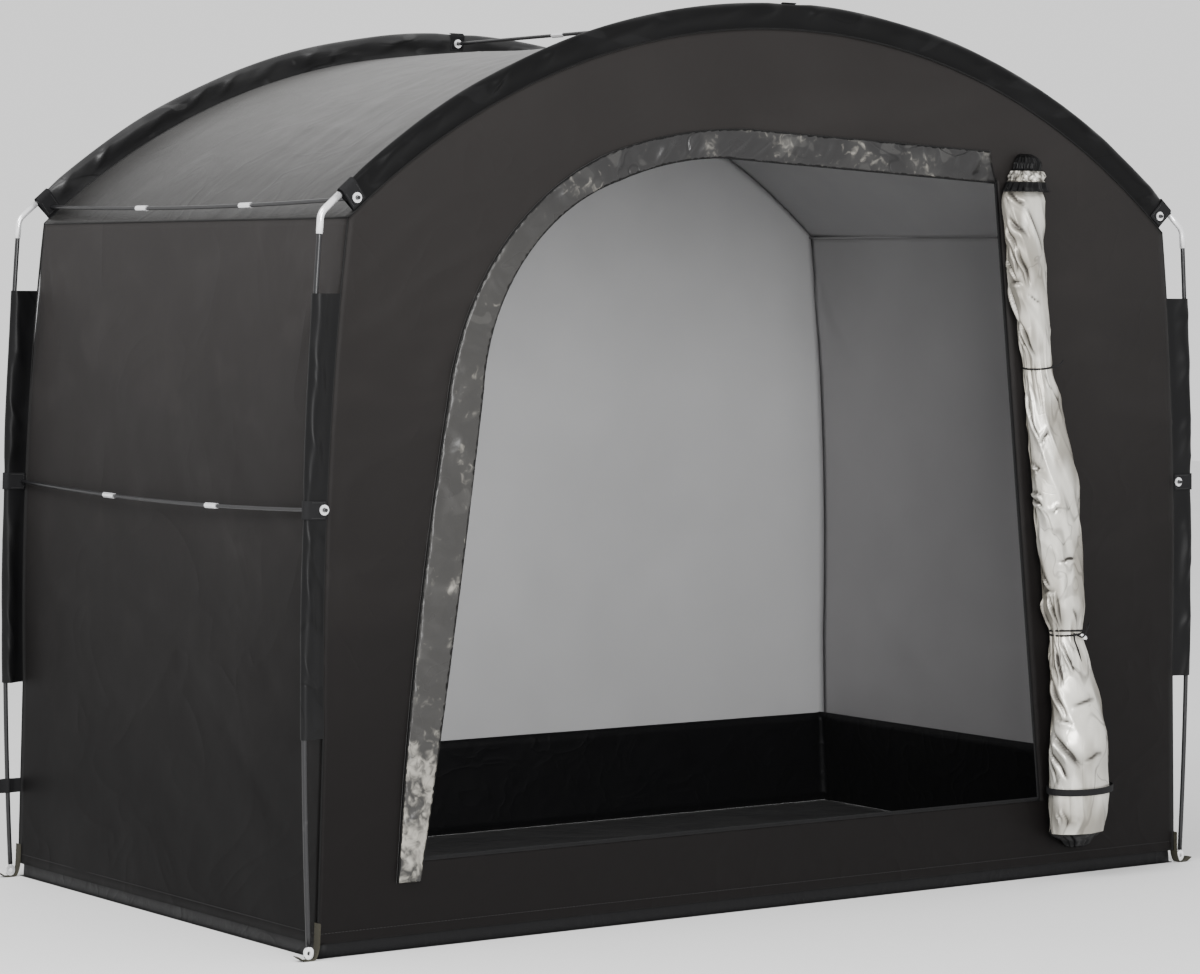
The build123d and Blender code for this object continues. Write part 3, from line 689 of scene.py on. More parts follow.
def bent_grid(columns: int, rows: int, place: Place, flat: Point, closed: bool = False) -> Mesh:
    """Bend a flat grid of cloth into its place.

    Args:
        columns: Faces along the first side.
        rows: Faces along the second side.
        place: Gives the place of a point from its shares along both sides.
        flat: Width and length of the flat cloth, in metres.
        closed: Whether the first and last columns are sewn together.

    Returns:
        The bent grid, with the flat cloth's own coordinates as its UV map.
    """
    mesh = bmesh.new()
    bmesh.ops.create_grid(mesh, x_segments=columns, y_segments=rows, size=0.5)
    cut = mesh.loops.layers.uv.new("Cut")
    for face in mesh.faces:
        face.smooth = True
        for loop in face.loops:
            loop[cut].uv = ((loop.vert.co.x + 0.5) * flat[0], (loop.vert.co.y + 0.5) * flat[1])
    for vertex in mesh.verts:
        vertex.co = place(vertex.co.x + 0.5, vertex.co.y + 0.5)
    if closed:
        bmesh.ops.remove_doubles(mesh, verts=mesh.verts, dist=1e-5)
    return mesh


def face_outwards(mesh: Mesh, heart: Vector) -> None:
    """Turn an open skin so that its faces look away from a point."""
    if sum((face.calc_center_median() - heart).dot(face.normal) * face.calc_area() for face in mesh.faces) < 0:
        bmesh.ops.reverse_faces(mesh, faces=mesh.faces)


def linked(name: str, data: bpy.types.ID) -> Piece:
    """A new object in the scene."""
    made = bpy.data.objects.new(name, data)
    bpy.context.scene.collection.objects.link(made)
    return made


def closed_ends(mesh: Mesh, sides: int = 0) -> Mesh:
    """Close the open ends of a tube and turn its faces outwards."""
    bmesh.ops.holes_fill(mesh, edges=[edge for edge in mesh.edges if edge.is_boundary], sides=sides)
    bmesh.ops.recalc_face_normals(mesh, faces=mesh.faces[:])
    return mesh


def to_left(mesh: Mesh) -> None:
    """Mirror a bar from the right-hand side to the left."""
    bmesh.ops.scale(mesh, verts=mesh.verts[:], vec=(-1, 1, 1))
    bmesh.ops.reverse_faces(mesh, faces=mesh.faces[:])


def settle(
    mesh: Mesh,
    name: str,
    finishes: Sequence,
    replaces: Sequence[str] = (),
    thickness: float = 0.0,
    heart: Vector | None = None,
) -> Piece:
    """Turn a finished bmesh into a piece that rides on the frame.

    Args:
        mesh: The shape, in its place. It is freed.
        name: Name of the piece.
        finishes: Outer finish, and the inner one for cloth of two faces.
        replaces: CAD nodes that the piece stands for.
        thickness: Thickness given to a skin, on its inner side.
        heart: Point that a skin's faces look away from.

    Returns:
        The piece.
    """
    mesh.normal_update()
    if heart is not None:
        face_outwards(mesh, heart)
    data = bpy.data.meshes.new(name)
    mesh.to_mesh(data)
    mesh.free()
    piece = linked(name, data)
    for finish in finishes:
        data.materials.append(dressed(finish))
    if thickness:
        wall = piece.modifiers.new("Thickness", "SOLIDIFY")
        wall.thickness = thickness
        wall.offset = -1.0
        wall.use_rim = True
        if len(finishes) > 1:
            wall.material_offset = 1
    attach(piece, "root")
    if replaces:
        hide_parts(*replaces)
    LOG.info("%s: %d faces", name, len(data.polygons))
    return piece


@dataclass
class Outline:
    """A run of stretches, cut into a fixed number of steps each."""

    stretches: list[Stretch]

    def at(self, share: float, counts: Sequence[int]) -> Point:
        """Point at a share of all steps.

        Args:
            share: Share of the steps, from 0 to 1.
            counts: Steps in each stretch.

        Returns:
            The point.
        """
        left = share * sum(counts)
        for stretch, count in zip(self.stretches, counts):
            if left <= count or stretch is self.stretches[-1]:
                return stretch.at(min(1.0, left / count))
            left -= count
        return self.stretches[-1].end

    def toward(self, other: "Outline", counts: Sequence[int], along: float, across: float) -> Point:
        """Point between this outline and one that faces it.

        Args:
            other: The other outline.
            counts: Steps in each stretch of both.
            along: Share of the steps.
            across: Share of the way from this outline to the other.

        Returns:
            The point.
        """
        ax, az = self.at(along, counts)
        bx, bz = other.at(along, counts)
        return ax + (bx - ax) * across, az + (bz - az) * across

    def steps(self, pitch: float) -> list[int]:
        """Steps in each stretch, about pitch long."""
        return [max(2, round(stretch.length() / pitch)) for stretch in self.stretches]


@dataclass(frozen=True)
class Doorway:
    """Outline of the doorway and of the storm flap round it."""

    left_foot: Point = (-0.788, 0.158)
    left_low: Point = (-0.724, 0.561)
    spring: Point = (-0.669, 0.96)
    haunch: Point = (-0.579, 1.193)
    shoulder: Point = (-0.385, 1.326)
    brow: Point = (-0.259, 1.362)
    crown: Point = (-0.151, 1.373)
    right_top: Point = (0.501, 1.342)
    right_foot: Point = (0.632, 0.158)

    def grown(self, margin: float) -> "Doorway":
        """The outline with every point moved outwards by a margin."""
        lean = margin * sqrt(0.5)
        moves = (
            (-margin, -margin), (-margin, 0), (-margin, 0), (-lean, lean), (-lean / 2, margin),
            (0, margin), (0, margin), (margin, margin), (margin, -margin),
        )
        return Doorway(*(tuple(a + b for a, b in zip(*pair)) for pair in zip(astuple(self), moves)))

    def arch(self) -> list[Stretch]:
        """Stretches up the left side and over the top."""
        return [
            Stretch(self.left_foot, self.spring, self.left_low),
            Stretch(self.spring, self.shoulder, self.haunch),
            Stretch(self.shoulder, self.crown, self.brow),
            Stretch(self.crown, self.right_top),
        ]

    def loop(self) -> list[Stretch]:
        """Stretches all the way round."""
        return self.arch() + [Stretch(self.right_top, self.right_foot), Stretch(self.right_foot, self.left_foot)]


DOORWAY = Doorway()


WALL_STREAKS = Streaks(0.5, 3.0, 0.2, 2.0, 0.0016, 5.0)


def wall_wrinkles(x: float, z: float, seed: float) -> float:
    """Soft unevenness of a taut wall, in metres."""
    broad = ripple(x, z, 0.42, seed) * 0.004 + ripple(x, z, 0.16, seed + 3) * 0.0014
    return broad + WALL_STREAKS.at(x, z, seed)


@dataclass
class FrontWall:
    """The end wall with the doorway, sewn from a ring of cloth."""

    pitch: float = 0.013
    rows: int = 26
    zip_width: float = 0.0073
    flat: Point = (2.0, 1.59)
    area: float = 1.46
    pull_centre: Point = (-0.83, 1.02)
    pull_reach: float = 0.36
    pull: Streaks = Streaks(0.42, 3.4, 0.085, 2.0, 0.006, 21.0)
    sewn_height: float = 0.03
    sewn_ease: float = 0.3
    seam_turns: Triple = (-0.47, -0.2, 0.46)

    def outer(self) -> Outline:
        """The wall's outer edge, in stretches that face those of the doorway."""
        low, spring = HOOP.hem_height, DOORWAY.spring[1]
        corner = HOOP.wall_top_height

        def side(hand: int, start: float, end: float) -> Stretch:
            """A part of a corner, between two heights."""
            heights = (start, end) if max(start, end) <= HOOP.wall_low[1] else (start, end, (start + end) / 2)
            return Stretch(*((hand * HOOP.wall_x(z), z) for z in heights))

        def seam(start: float, end: float) -> Stretch:
            """A part of the arched seam, between two angles."""
            return Stretch(*(HOOP.on_arch(HOOP.seam_radius, angle) for angle in (start, end, (start + end) / 2)))

        turns = (-HOOP.seam_angle, *self.seam_turns, HOOP.seam_angle)
        return Outline([
            side(-1, low, HOOP.wall_low[1]),
            side(-1, HOOP.wall_low[1], spring),
            side(-1, spring, corner),
            *(seam(start, end) for start, end in zip(turns, turns[1:])),
            side(1, corner, HOOP.wall_low[1]),
            side(1, HOOP.wall_low[1], low),
            Stretch((HOOP.wall_hem, low), (-HOOP.wall_hem, low)),
        ])

    def inner(self) -> Outline:
        """The edge of the doorway, in stretches that face the outer ones."""
        door = DOORWAY.grown(self.zip_width)
        left = Stretch(door.left_foot, door.spring, door.left_low)
        bend = Stretch(door.spring, door.shoulder, door.haunch)
        right = Stretch(door.right_top, door.right_foot)
        return Outline([
            *left.cut(0.27),
            *bend.cut(0.5),
            Stretch(door.shoulder, door.crown, door.brow),
            Stretch(door.crown, door.right_top),
            *right.cut(0.12, 0.82),
            Stretch(door.right_foot, door.left_foot),
        ])

    def depth(self, x: float, z: float, share: float) -> float:
        """How far the cloth stands in front of the hoop's plane."""
        taut = smooth(inland(clamp(share), 6)) * clamp((z - self.sewn_height) / self.sewn_ease)
        reach = Vector((x - self.pull_centre[0], z - self.pull_centre[1])).length
        shift = wall_wrinkles(x, z, 11.0) + self.pull.at(x, z) * max(0.0, 1 - reach / self.pull_reach)
        pucker = ripple(x + z, x - z, 0.028, 4.0) * 0.0008 * (1 - taut)
        return shift * taut + pucker

    def build(self) -> None:
        """Sew the wall and dress it."""
        outer, inner = self.outer(), self.inner()
        counts = outer.steps(self.pitch)

        def place(around: float, across: float) -> Vector:
            """Place of a point."""
            x, z = inner.toward(outer, counts, around, across)
            return Vector((x, FRONT_Y - HALF_SKIN - self.depth(x, z, across), z))

        mesh = bent_grid(sum(counts), self.rows, place, self.flat, True)
        cut = mesh.loops.layers.uv["Cut"]
        for face in mesh.faces:
            for loop in face.loops:
                loop[cut].uv = (loop.vert.co.x, loop.vert.co.z)
        piece = settle(
            mesh, "front_wall", (SHADED_FRONT_CLOTH, SIDE_LINER),
            ("front_wall_left", "front_wall_top", "front_wall_right", "front_sill"), SKIN, HEART,
        )


@dataclass
class BackWall:
    """The plain end wall."""

    columns: int = 90
    rows: int = 72
    flat: Point = (2.0, 1.59)
    area: float = 2.88

    def build(self) -> None:
        """Bend the wall and dress it."""

        def place(across: float, up: float) -> Vector:
            """Place of a point."""
            turn = (2 * across - 1) * HOOP.seam_angle
            share = sin(turn) / sin(HOOP.seam_angle)
            top_x, top_z = HOOP.on_arch(HOOP.seam_radius, turn)
            level = HOOP.hem_height + (HOOP.wall_top_height - HOOP.hem_height) * up
            x = share * HOOP.wall_x(level) + up * (top_x - share * HOOP.wall_top)
            z = HOOP.hem_height + (top_z - HOOP.hem_height) * up
            loose = sin(pi * across) * sin(pi * up)
            return Vector((x, BACK_Y + HALF_SKIN + wall_wrinkles(x, z, 31.0) * min(1.0, 2 * loose), z))

        mesh = bent_grid(self.columns, self.rows, place, self.flat)
        piece = settle(mesh, "back_cover", (SIDE_CLOTH, LIT_BACK_LINER), ("back_wall",), SKIN, HEART)


@dataclass
class SideWall:
    """One side wall, from the hem up to the roof's edge."""

    hand: Hand
    columns: int = 84
    rows: int = 92
    flat: Point = (1.1, 1.25)
    eave_gap: float = 0.0015
    sag: float = 0.004
    pull_reach: float = 0.32
    pull_height: float = 0.0042
    pull_rays: int = 17

    def inset(self, depth: float, z: float) -> float:
        """How far the wall is drawn in at a depth and height."""
        share = (depth - FRONT_Y) / (BACK_Y - FRONT_Y)
        loose = inland(share, 5) * min(1.0, 6 * (HOOP.wall_top_height - z))
        sag = self.sag * sin(pi * share) * sin(pi * min(1.0, z / self.flat[1]))
        shift = sag + wall_wrinkles(depth, z, 41.0 + self.hand.value) * loose
        for corner in (FRONT_Y, BACK_Y):
            away, down = abs(depth - corner), HOOP.wall_top_height - z
            reach = sqrt(away**2 + down**2)
            if 0.004 < reach < self.pull_reach:
                turn = atan2(away, down)
                rays = max(0.0, cos(turn * self.pull_rays + ripple(depth, z, 0.09, 5.0) * 3)) ** 2
                near = sin(pi * min(1.0, reach / self.pull_reach))
                shift += rays * self.pull_height * near * max(0.0, 1 - turn / 1.1)
        return shift

    def build(self) -> None:
        """Bend the wall and dress it."""
        side = self.hand.value

        def place(across: float, up: float) -> Vector:
            """Place of a point."""
            depth = MIDDLE_Y + (2 * across - 1) * HALF_DEPTH
            z = HOOP.hem_height + (HOOP.wall_top_height - self.eave_gap - HOOP.hem_height) * up
            return Vector((side * (HOOP.wall_x(z) - self.inset(depth, z)), depth, z))

        mesh = bent_grid(self.columns, self.rows, place, self.flat)
        name = self.hand.word
        piece = settle(
            mesh, f"{name}_cover", (SIDE_CLOTH, SIDE_LINER), (f"{name}_wall",), SKIN, HEART
        )


@dataclass
class Roof:
    """The roof panel, from one side wall over the top to the other."""

    columns: int = 150
    rows: int = 84
    sag: float = 0.007
    flat: Point = (2.06, 1.1)
    long_folds: Streaks = Streaks(1.35, 4.0, 0.12, 2.0, 0.0022, 53.0)
    cross_folds: Streaks = Streaks(0.1, 5.0, 0.07, 3.0, 0.0014, 57.0)

    def build(self) -> None:
        """Bend the roof and dress it."""

        def place(across: float, along: float) -> Vector:
            """Place of a point."""
            turn = (2 * across - 1) * HOOP.seam_angle
            depth = MIDDLE_Y + (2 * along - 1) * HALF_DEPTH
            arc = turn * HOOP.seam_radius
            loose = inland(along, 7) * inland(across, 9)
            drop = self.sag * sin(pi * along) + ripple(arc, depth, 0.3, 51.0) * 0.004 * loose
            drop -= self.long_folds.at(arc, depth) * loose
            drop -= self.cross_folds.at(arc, depth) * loose
            x, z = HOOP.on_arch(HOOP.seam_radius - max(0.0, drop), turn)
            return Vector((x, depth, z))

        mesh = bent_grid(self.columns, self.rows, place, self.flat)
        piece = settle(mesh, "roof_cover", (LIT_ROOF_CLOTH, SIDE_LINER), ("roof",), SKIN, HEART)


@dataclass
class PoleSleeve:
    """Cloth folded round a pole and sewn to the cover's seam."""

    pocket: float = 0.0062
    slack: float = 0.0035
    cloth: float = 0.1
    round_rows: int = 26
    tab_clear: float = 0.019
    tab_ease: float = 0.03
    round_share: float = 0.36
    sewn_half: float = 0.0009
    tuck: float = 0.3
    bulge: float = 1.15
    steep_folds: Streaks = Streaks(0.5, 3.0, 0.05, 1.6, 0.005)
    long_folds: Streaks = Streaks(0.25, 3.0, 0.11, 1.5, 0.004, 2.0)

    def eased(self, away: float) -> float:
        """Share of the slack left at a distance from the middle of a tab that holds the sleeve down."""
        return clamp((abs(away) - self.tab_clear) / self.tab_ease)

    def section(self, share: float, width: float, slack: float) -> tuple[float, float]:
        """Outline of the folded cloth across the pole.

        Args:
            share: Share of the way from the front of the seam round to its back.
            width: Distance from the seam to the pole's centre.
            slack: How loosely the pocket stands off the pole.

        Returns:
            Distance outwards from the seam, and distance in front of the seam's plane.
        """
        half = abs(2 * share - 1)
        face = 1 if share < 0.5 else -1
        ring = self.pocket + slack
        if half > self.round_share:
            run = (1 - half) / (1 - self.round_share)
            return (width - self.tuck * ring) * run, face * (self.sewn_half + (ring - self.sewn_half) * smooth(run))
        turn = half / self.round_share * pi / 2
        return width - self.tuck * ring + ring * self.bulge * cos(turn), face * ring * sin(turn)

    def crumple(self, along: float, share: float, seed: float) -> float:
        """How far the loose cloth between pole and seam stands off its plain shape."""
        across = share * 0.12
        loose = sin(pi * min(1.0, abs(2 * share - 1) / 0.9)) ** 2
        return (self.steep_folds.at(along, across, seed) + self.long_folds.at(along, across, seed)) * loose


@dataclass
class ArchSleeve(PoleSleeve):
    """The sleeve over an arch pole."""

    end: End = End.FRONT
    columns: int = 340
    length: float = 2.1
    end_gap: float = 0.0025

    def build(self) -> None:
        """Fold the sleeve and dress it."""
        depth = HOOP_Y[self.end]
        limit = HOOP.elbow_angle - self.end_gap / HOOP.arch_radius
        width = HOOP.seam_drop

        def place(along: float, round_: float) -> Vector:
            """Place of a point."""
            turn = (2 * along - 1) * limit
            arc = turn * HOOP.arch_radius
            held = self.eased(abs(arc) - UPPER_TAB.arc) * self.eased(arc)
            slack = self.slack * (0.5 + 0.5 * ripple(arc, 0, 0.17, 61.0 + self.end.value)) * held
            out, front = self.section(round_, width, max(0.0, slack))
            rise = self.crumple(arc, round_, 63.0 + self.end.value) * held
            face = 1 if front >= 0 else -1
            x, z = HOOP.on_arch(HOOP.seam_radius + out, turn)
            return Vector((x, depth - front - face * rise, z))

        mesh = bent_grid(self.columns, self.round_rows, place, (self.length, self.cloth))
        name = self.end.word
        axis = Vector((0, depth, HOOP.arch_z))
        piece = settle(
            mesh, f"{name}_arch_cloth",
            (SLEEVE_CLOTH if self.end is End.FRONT else BACK_SLEEVE_CLOTH,), (f"{name}_arch_sleeve",), 0.0, axis,
        )


@dataclass
class LegSleeve(PoleSleeve):
    """The sleeve over a leg."""

    end: End = End.FRONT
    hand: Hand = Hand.LEFT
    columns: int = 130
    length: float = 0.75
    seam_gap: float = 0.0005
    bottom: float = 0.375
    top: float = 1.1256

    def build(self) -> None:
        """Fold the sleeve and dress it."""
        depth, side = HOOP_Y[self.end], self.hand.value
        seed = 71.0 + self.end.value + 3 * side

        def place(along: float, round_: float) -> Vector:
            """Place of a point."""
            z = self.bottom + (self.top - self.bottom) * along
            seam = HOOP.wall_x(z) + self.seam_gap
            held = self.eased(z - MID_TAB.height)
            slack = self.slack * (0.4 + 0.5 * ripple(z, 0, 0.16, seed)) * held
            out, front = self.section(round_, HOOP.leg_x(z) - seam, max(0.0, slack))
            rise = self.crumple(z, round_, seed) * held * 0.8
            face = 1 if front >= 0 else -1
            return Vector((side * (seam + out), depth - front - face * rise, z))

        mesh = bent_grid(self.columns, self.round_rows, place, (self.length, self.cloth))
        end, hand = self.end.word, self.hand.word
        seam_line = Vector((side * 0.93, depth, 0.75))
        piece = settle(
            mesh, f"{end}_{hand}_leg_cloth", (SIDE_SLEEVE_CLOTH,),
            (f"{end}_{hand}_leg_sleeve",), 0.0, seam_line,
        )


@dataclass
class GroundSheet:
    """The floor and the lips that stand up inside the walls."""

    columns: int = 90
    rows: int = 60
    lip_columns: int = 320
    lip_rows: int = 10
    inset: float = 0.0016
    side_gap: float = 0.0006
    lip_height: float = 0.2
    front_lip_height: float = 0.14
    lip_foot: float = 0.002
    lip_thickness: float = 0.001

    def floor(self) -> None:
        """Lay the floor and dress it."""
        half_x, half_y = HOOP.wall_hem - self.inset, HALF_DEPTH - self.side_gap
        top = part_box("ground_sheet")[1].z

        def place(across: float, along: float) -> Vector:
            """Place of a point."""
            x, y = (2 * across - 1) * half_x, MIDDLE_Y + (2 * along - 1) * half_y
            rise = max(0.0, ripple(x, y, 0.16, 81.0)) * 0.004 + fold(x, y, 0.2, 83.0) * 0.002
            return Vector((x, y, top + rise * min(inland(across, 12), inland(along, 12))))

        mesh = bent_grid(self.columns, self.rows, place, (2 * half_x, 2 * half_y))
        piece = settle(
            mesh, "floor_cloth", (GROUND_CLOTH,), ("ground_sheet",), SKIN, Vector((0, 0, -1))
        )
        2 * half_x
        2 * half_y

    def lips(self) -> None:
        """Stand the lips up and dress them as one ring of cloth."""
        half_y = HALF_DEPTH - self.side_gap
        depth = 2 * half_y
        span = 2 * HOOP.wall_hem
        total = 2 * (depth + span)

        def place(around: float, up: float) -> Vector:
            """Place of a point."""
            run = around * total % total
            side_z, front_z = (
                self.lip_foot + (top - self.lip_foot) * up for top in (self.lip_height, self.front_lip_height)
            )
            half = HOOP.wall_x(max(HOOP.hem_height, side_z)) - 0.0026 - 0.011 * up
            wave = (ripple(run, side_z, 0.12, 87.0) - 0.5) * 0.002 * up
            if run <= span:
                share = run / span
                return Vector(((2 * share - 1) * half, MIDDLE_Y - half_y + 0.001 + 0.006 * up - wave, front_z))
            run -= span
            if run <= depth:
                share = run / depth
                z = front_z + (side_z - front_z) * min(1.0, 4 * share)
                return Vector((half + wave, MIDDLE_Y + (2 * share - 1) * half_y, z))
            run -= depth
            if run <= span:
                share = run / span
                return Vector(((1 - 2 * share) * half, MIDDLE_Y + half_y - 0.001 - 0.008 * up + wave, side_z))
            share = (run - span) / depth
            z = side_z + (front_z - side_z) * max(0.0, 4 * share - 3)
            return Vector((-half - wave, MIDDLE_Y + (1 - 2 * share) * half_y, z))

        mesh = bent_grid(self.lip_columns, self.lip_rows, place, (total, self.lip_height), True)
        piece = settle(
            mesh, "floor_lips", (GROUND_CLOTH,), ("ground_sheet_lips",), self.lip_thickness, HEART
        )

    def build(self) -> None:
        """Lay the floor and stand its lips up."""
        self.floor()
        self.lips()


@dataclass
class StormFlap:
    """The shiny flap sewn over the zip, up the left side and over the top."""

    pitch: float = 0.006
    rows: int = 14
    thickness: float = 0.0008
    bottom: float = 0.117
    width: float = 0.055
    length: float = 3.1
    folded_width: float = 0.06
    steep_folds: Streaks = Streaks(0.9, 2.0, 0.07, 1.4, 0.0055, 91.0)
    foot_folds: Streaks = Streaks(-0.7, 2.2, 0.045, 1.4, 0.0035, 97.0)

    def outer(self) -> Outline:
        """The flap's outer edge."""
        return Outline([
            Stretch((-0.84, self.bottom), (-0.742, 0.94), (-0.801, 0.55)),
            Stretch((-0.742, 0.94), (-0.41, 1.373), (-0.619, 1.221)),
            Stretch((-0.41, 1.373), (-0.098, 1.426), (-0.27, 1.41)),
            Stretch((-0.098, 1.426), (0.488, 1.402)),
        ])

    def inner(self) -> Outline:
        """The flap's inner edge, round the doorway."""
        door = DOORWAY.grown(0.002)
        foot = (door.left_foot[0] - 0.006, self.bottom)
        return Outline([Stretch(foot, door.spring, door.left_low), *door.arch()[1:]])

    def build(self) -> None:
        """Sew the flap on and dress it."""
        outer, inner = self.outer(), self.inner()
        counts = outer.steps(self.pitch)

        def place(along: float, across: float) -> Vector:
            """Place of a point."""
            x, z = inner.toward(outer, counts, along, across)
            loose = sin(pi * across) ** 0.6
            run, off = along * 3.4, across * self.folded_width
            rise = self.steep_folds.at(run, off) + self.foot_folds.at(run, off) * max(0.0, 1 - along * 2.2)
            rise += (ripple(run, off, 0.09, 93.0) + 0.5) * 0.004
            near = max(0.0, 1 - 5 * min(across, 1 - across))
            pucker = (fold(run + across * 0.02, 0.0, 0.013, 95.0, 1.2) + 0.3) * 0.0024 * near
            return Vector((x, FRONT_Y - 0.0022 - max(0.0, rise) * loose - max(0.0, pucker), z))

        mesh = bent_grid(sum(counts), self.rows, place, (self.length, self.width))
        piece = settle(
            mesh, "storm_flap", (FLAP_CLOTH,), ("door_storm_flap",), self.thickness, HEART
        )


@dataclass
class DoorZip:
    """Zip tape and its coil all round the doorway."""

    width: float = 0.0073
    half_thickness: float = 0.0012
    stand_off: float = 0.0009
    tape_thickness: float = 0.0008
    tooth_pitch: float = 0.0042
    tooth: Triple = (0.0022, 0.0019, 0.0034)

    def build(self) -> None:
        """Lay the tape and set the teeth."""
        inner, outer = Outline(DOORWAY.loop()), Outline(DOORWAY.grown(self.width).loop())
        counts = inner.steps(0.02)

        def place(around: float, across: float) -> Vector:
            """Place of a point."""
            x, z = inner.toward(outer, counts, around, across)
            return Vector((x, FRONT_Y - self.stand_off, z))

        mesh = bent_grid(sum(counts), 2, place, (4.7, self.width), True)
        bmesh.ops.solidify(mesh, geom=mesh.faces[:], thickness=self.tape_thickness)
        teeth = inner.steps(self.tooth_pitch)
        middle = Outline(DOORWAY.grown(self.width * 0.35).loop())
        total = sum(teeth)
        spots: list[Matrix] = []
        for step in range(total):
            x, z = middle.at((step + 0.5) / total, teeth)
            nx, nz = middle.at((step + 0.6) / total, teeth)
            turn = Matrix.Rotation(-atan2(nz - z, nx - x), 4, "Y")
            spot = Matrix.Translation((x, FRONT_Y - self.half_thickness, z)) @ turn
            spots.append(spot @ Matrix.Diagonal((*self.tooth, 1)))
        mesh = joined([mesh, small_bars(spots, 6, 0.4)])
        settle(mesh, "zip_chain", (ZIP_TAPE,), ("door_zip",))


@dataclass(frozen=True)
class RollRing:
    """One section of the rolled door: height, middle, half width and half depth."""

    height: float
    middle: float
    half_width: float
    half_depth: float

    def toward(self, other: "RollRing", share: float) -> "RollRing":
        """The ring at a share of the way to another."""
        return RollRing(*(a + (b - a) * share for a, b in zip(astuple(self), astuple(other))))


def rings_of(*rows: Sequence[float]) -> tuple[RollRing, ...]:
    """Rings from rows of millimetres."""
    return tuple(RollRing(*(number / 1000 for number in row)) for row in rows)


@dataclass(frozen=True)
class Crease:
    """A sharp fold across the seen side of the roll, from one point to another.

    Sides are percent of the half width, and all other numbers but the reach are millimetres.
    """

    side: float
    height: float
    end_side: float
    end_height: float
    width: float
    depth: float
    reach: float = 0.05

    def press(self, along: float, height: float) -> Point:
        """How far the cloth is pushed out, and how much painted shade it gets.

        Args:
            along: Distance round the roll from the middle of its seen side.
            height: Height of the point.

        Returns:
            Push outwards in metres, and painted shade from 0 to 1.
        """
        z, end_z = self.height / 1000, self.end_height / 1000
        if not min(z, end_z) - 0.02 < height < max(z, end_z) + 0.02:
            return 0.0, 0.0
        x = asin(self.side / 100) * self.reach
        run_x, run_z = asin(self.end_side / 100) * self.reach - x, end_z - z
        length = hypot(run_x, run_z)
        share = ((along - x) * run_x + (height - z) * run_z) / length**2
        if not 0 < share < 1:
            return 0.0, 0.0
        off = ((along - x) * run_z - (height - z) * run_x) / length
        off += ripple(share * 2.4, z * 9, 1.0, 7.0) * 0.005
        taper, wide = sin(pi * share) ** 0.6, self.width / 1000
        valley = exp(-((off / (0.5 * wide)) ** 2)) * taper
        lip = exp(-(((off - 1.4 * wide) / wide) ** 2)) * taper
        # Painted shade: dark in the fold's valley and on one side of it.
        shade = exp(-((off / (0.62 * wide)) ** 2)) * 0.8 + exp(-(((off + wide) / (1.8 * wide)) ** 2)) * 0.3
        return self.depth / 800 * (0.8 * lip - valley), shade * taper * min(1.0, length / 0.05)


CREASES = tuple(Crease(*numbers) for numbers in (
    (-65, 1330, 38, 1297, 5, 6), (33, 1300, 96, 1214, 4, 5), (-60, 1277, 42, 1241, 9, 5),
    (-70, 1263, -24, 1219, 5, 6), (-24, 1219, 33, 1151, 5, 8), (-97, 1252, -73, 1227, 4, 4),
    (-97, 1201, -43, 1165, 4, 7), (-88, 1158, -12, 1152, 5, 5), (-93, 1153, -65, 1080, 5, 8),
    (-65, 1080, 24, 1009, 5, 9), (7, 1134, 72, 1112, 3, 3), (-91, 1067, -31, 1028, 4, 5),
    (-57, 1224, -31, 1171, 4, 3), (-97, 945, -61, 896, 5, 3), (53, 981, 80, 945, 3, 4), (80, 945, 97, 889, 4, 4),
    (-84, 913, -27, 855, 6, 4), (26, 875, -36, 844, 4, 4), (-93, 815, -50, 793, 4, 4), (-85, 790, -30, 802, 4, 3),
    (-97, 755, -41, 746, 4, 5), (-97, 743, -40, 724, 4, 6), (42, 727, -21, 713, 4, 4), (-5, 616, 83, 629, 4, 4),
    (-97, 597, -48, 574, 4, 5), (-97, 561, -7, 561, 4, 4), (-97, 549, -76, 485, 4, 7), (-57, 553, -13, 489, 4, 7),
    (-13, 560, -3, 493, 4, 5), (60, 531, 78, 495, 4, 3), (-22, 468, 40, 404, 4, 8), (-56, 466, -29, 377, 4, 5),
    (-94, 466, -89, 419, 4, 6), (30, 468, 49, 441, 3, 4), (-95, 396, -16, 320, 6, 7), (-3, 340, 90, 352, 5, 5),
    (-72, 315, 13, 302, 4, 3), (-85, 288, 25, 220, 7, 8), (-94, 261, -20, 197, 5, 5), (-95, 243, -57, 187, 4, 4),
    (33, 234, 90, 248, 4, 3), (-55, 135, -32, 115, 4, 4), (4, 126, 32, 115, 4, 4), (-31, 143, -9, 103, 4, 3),
))


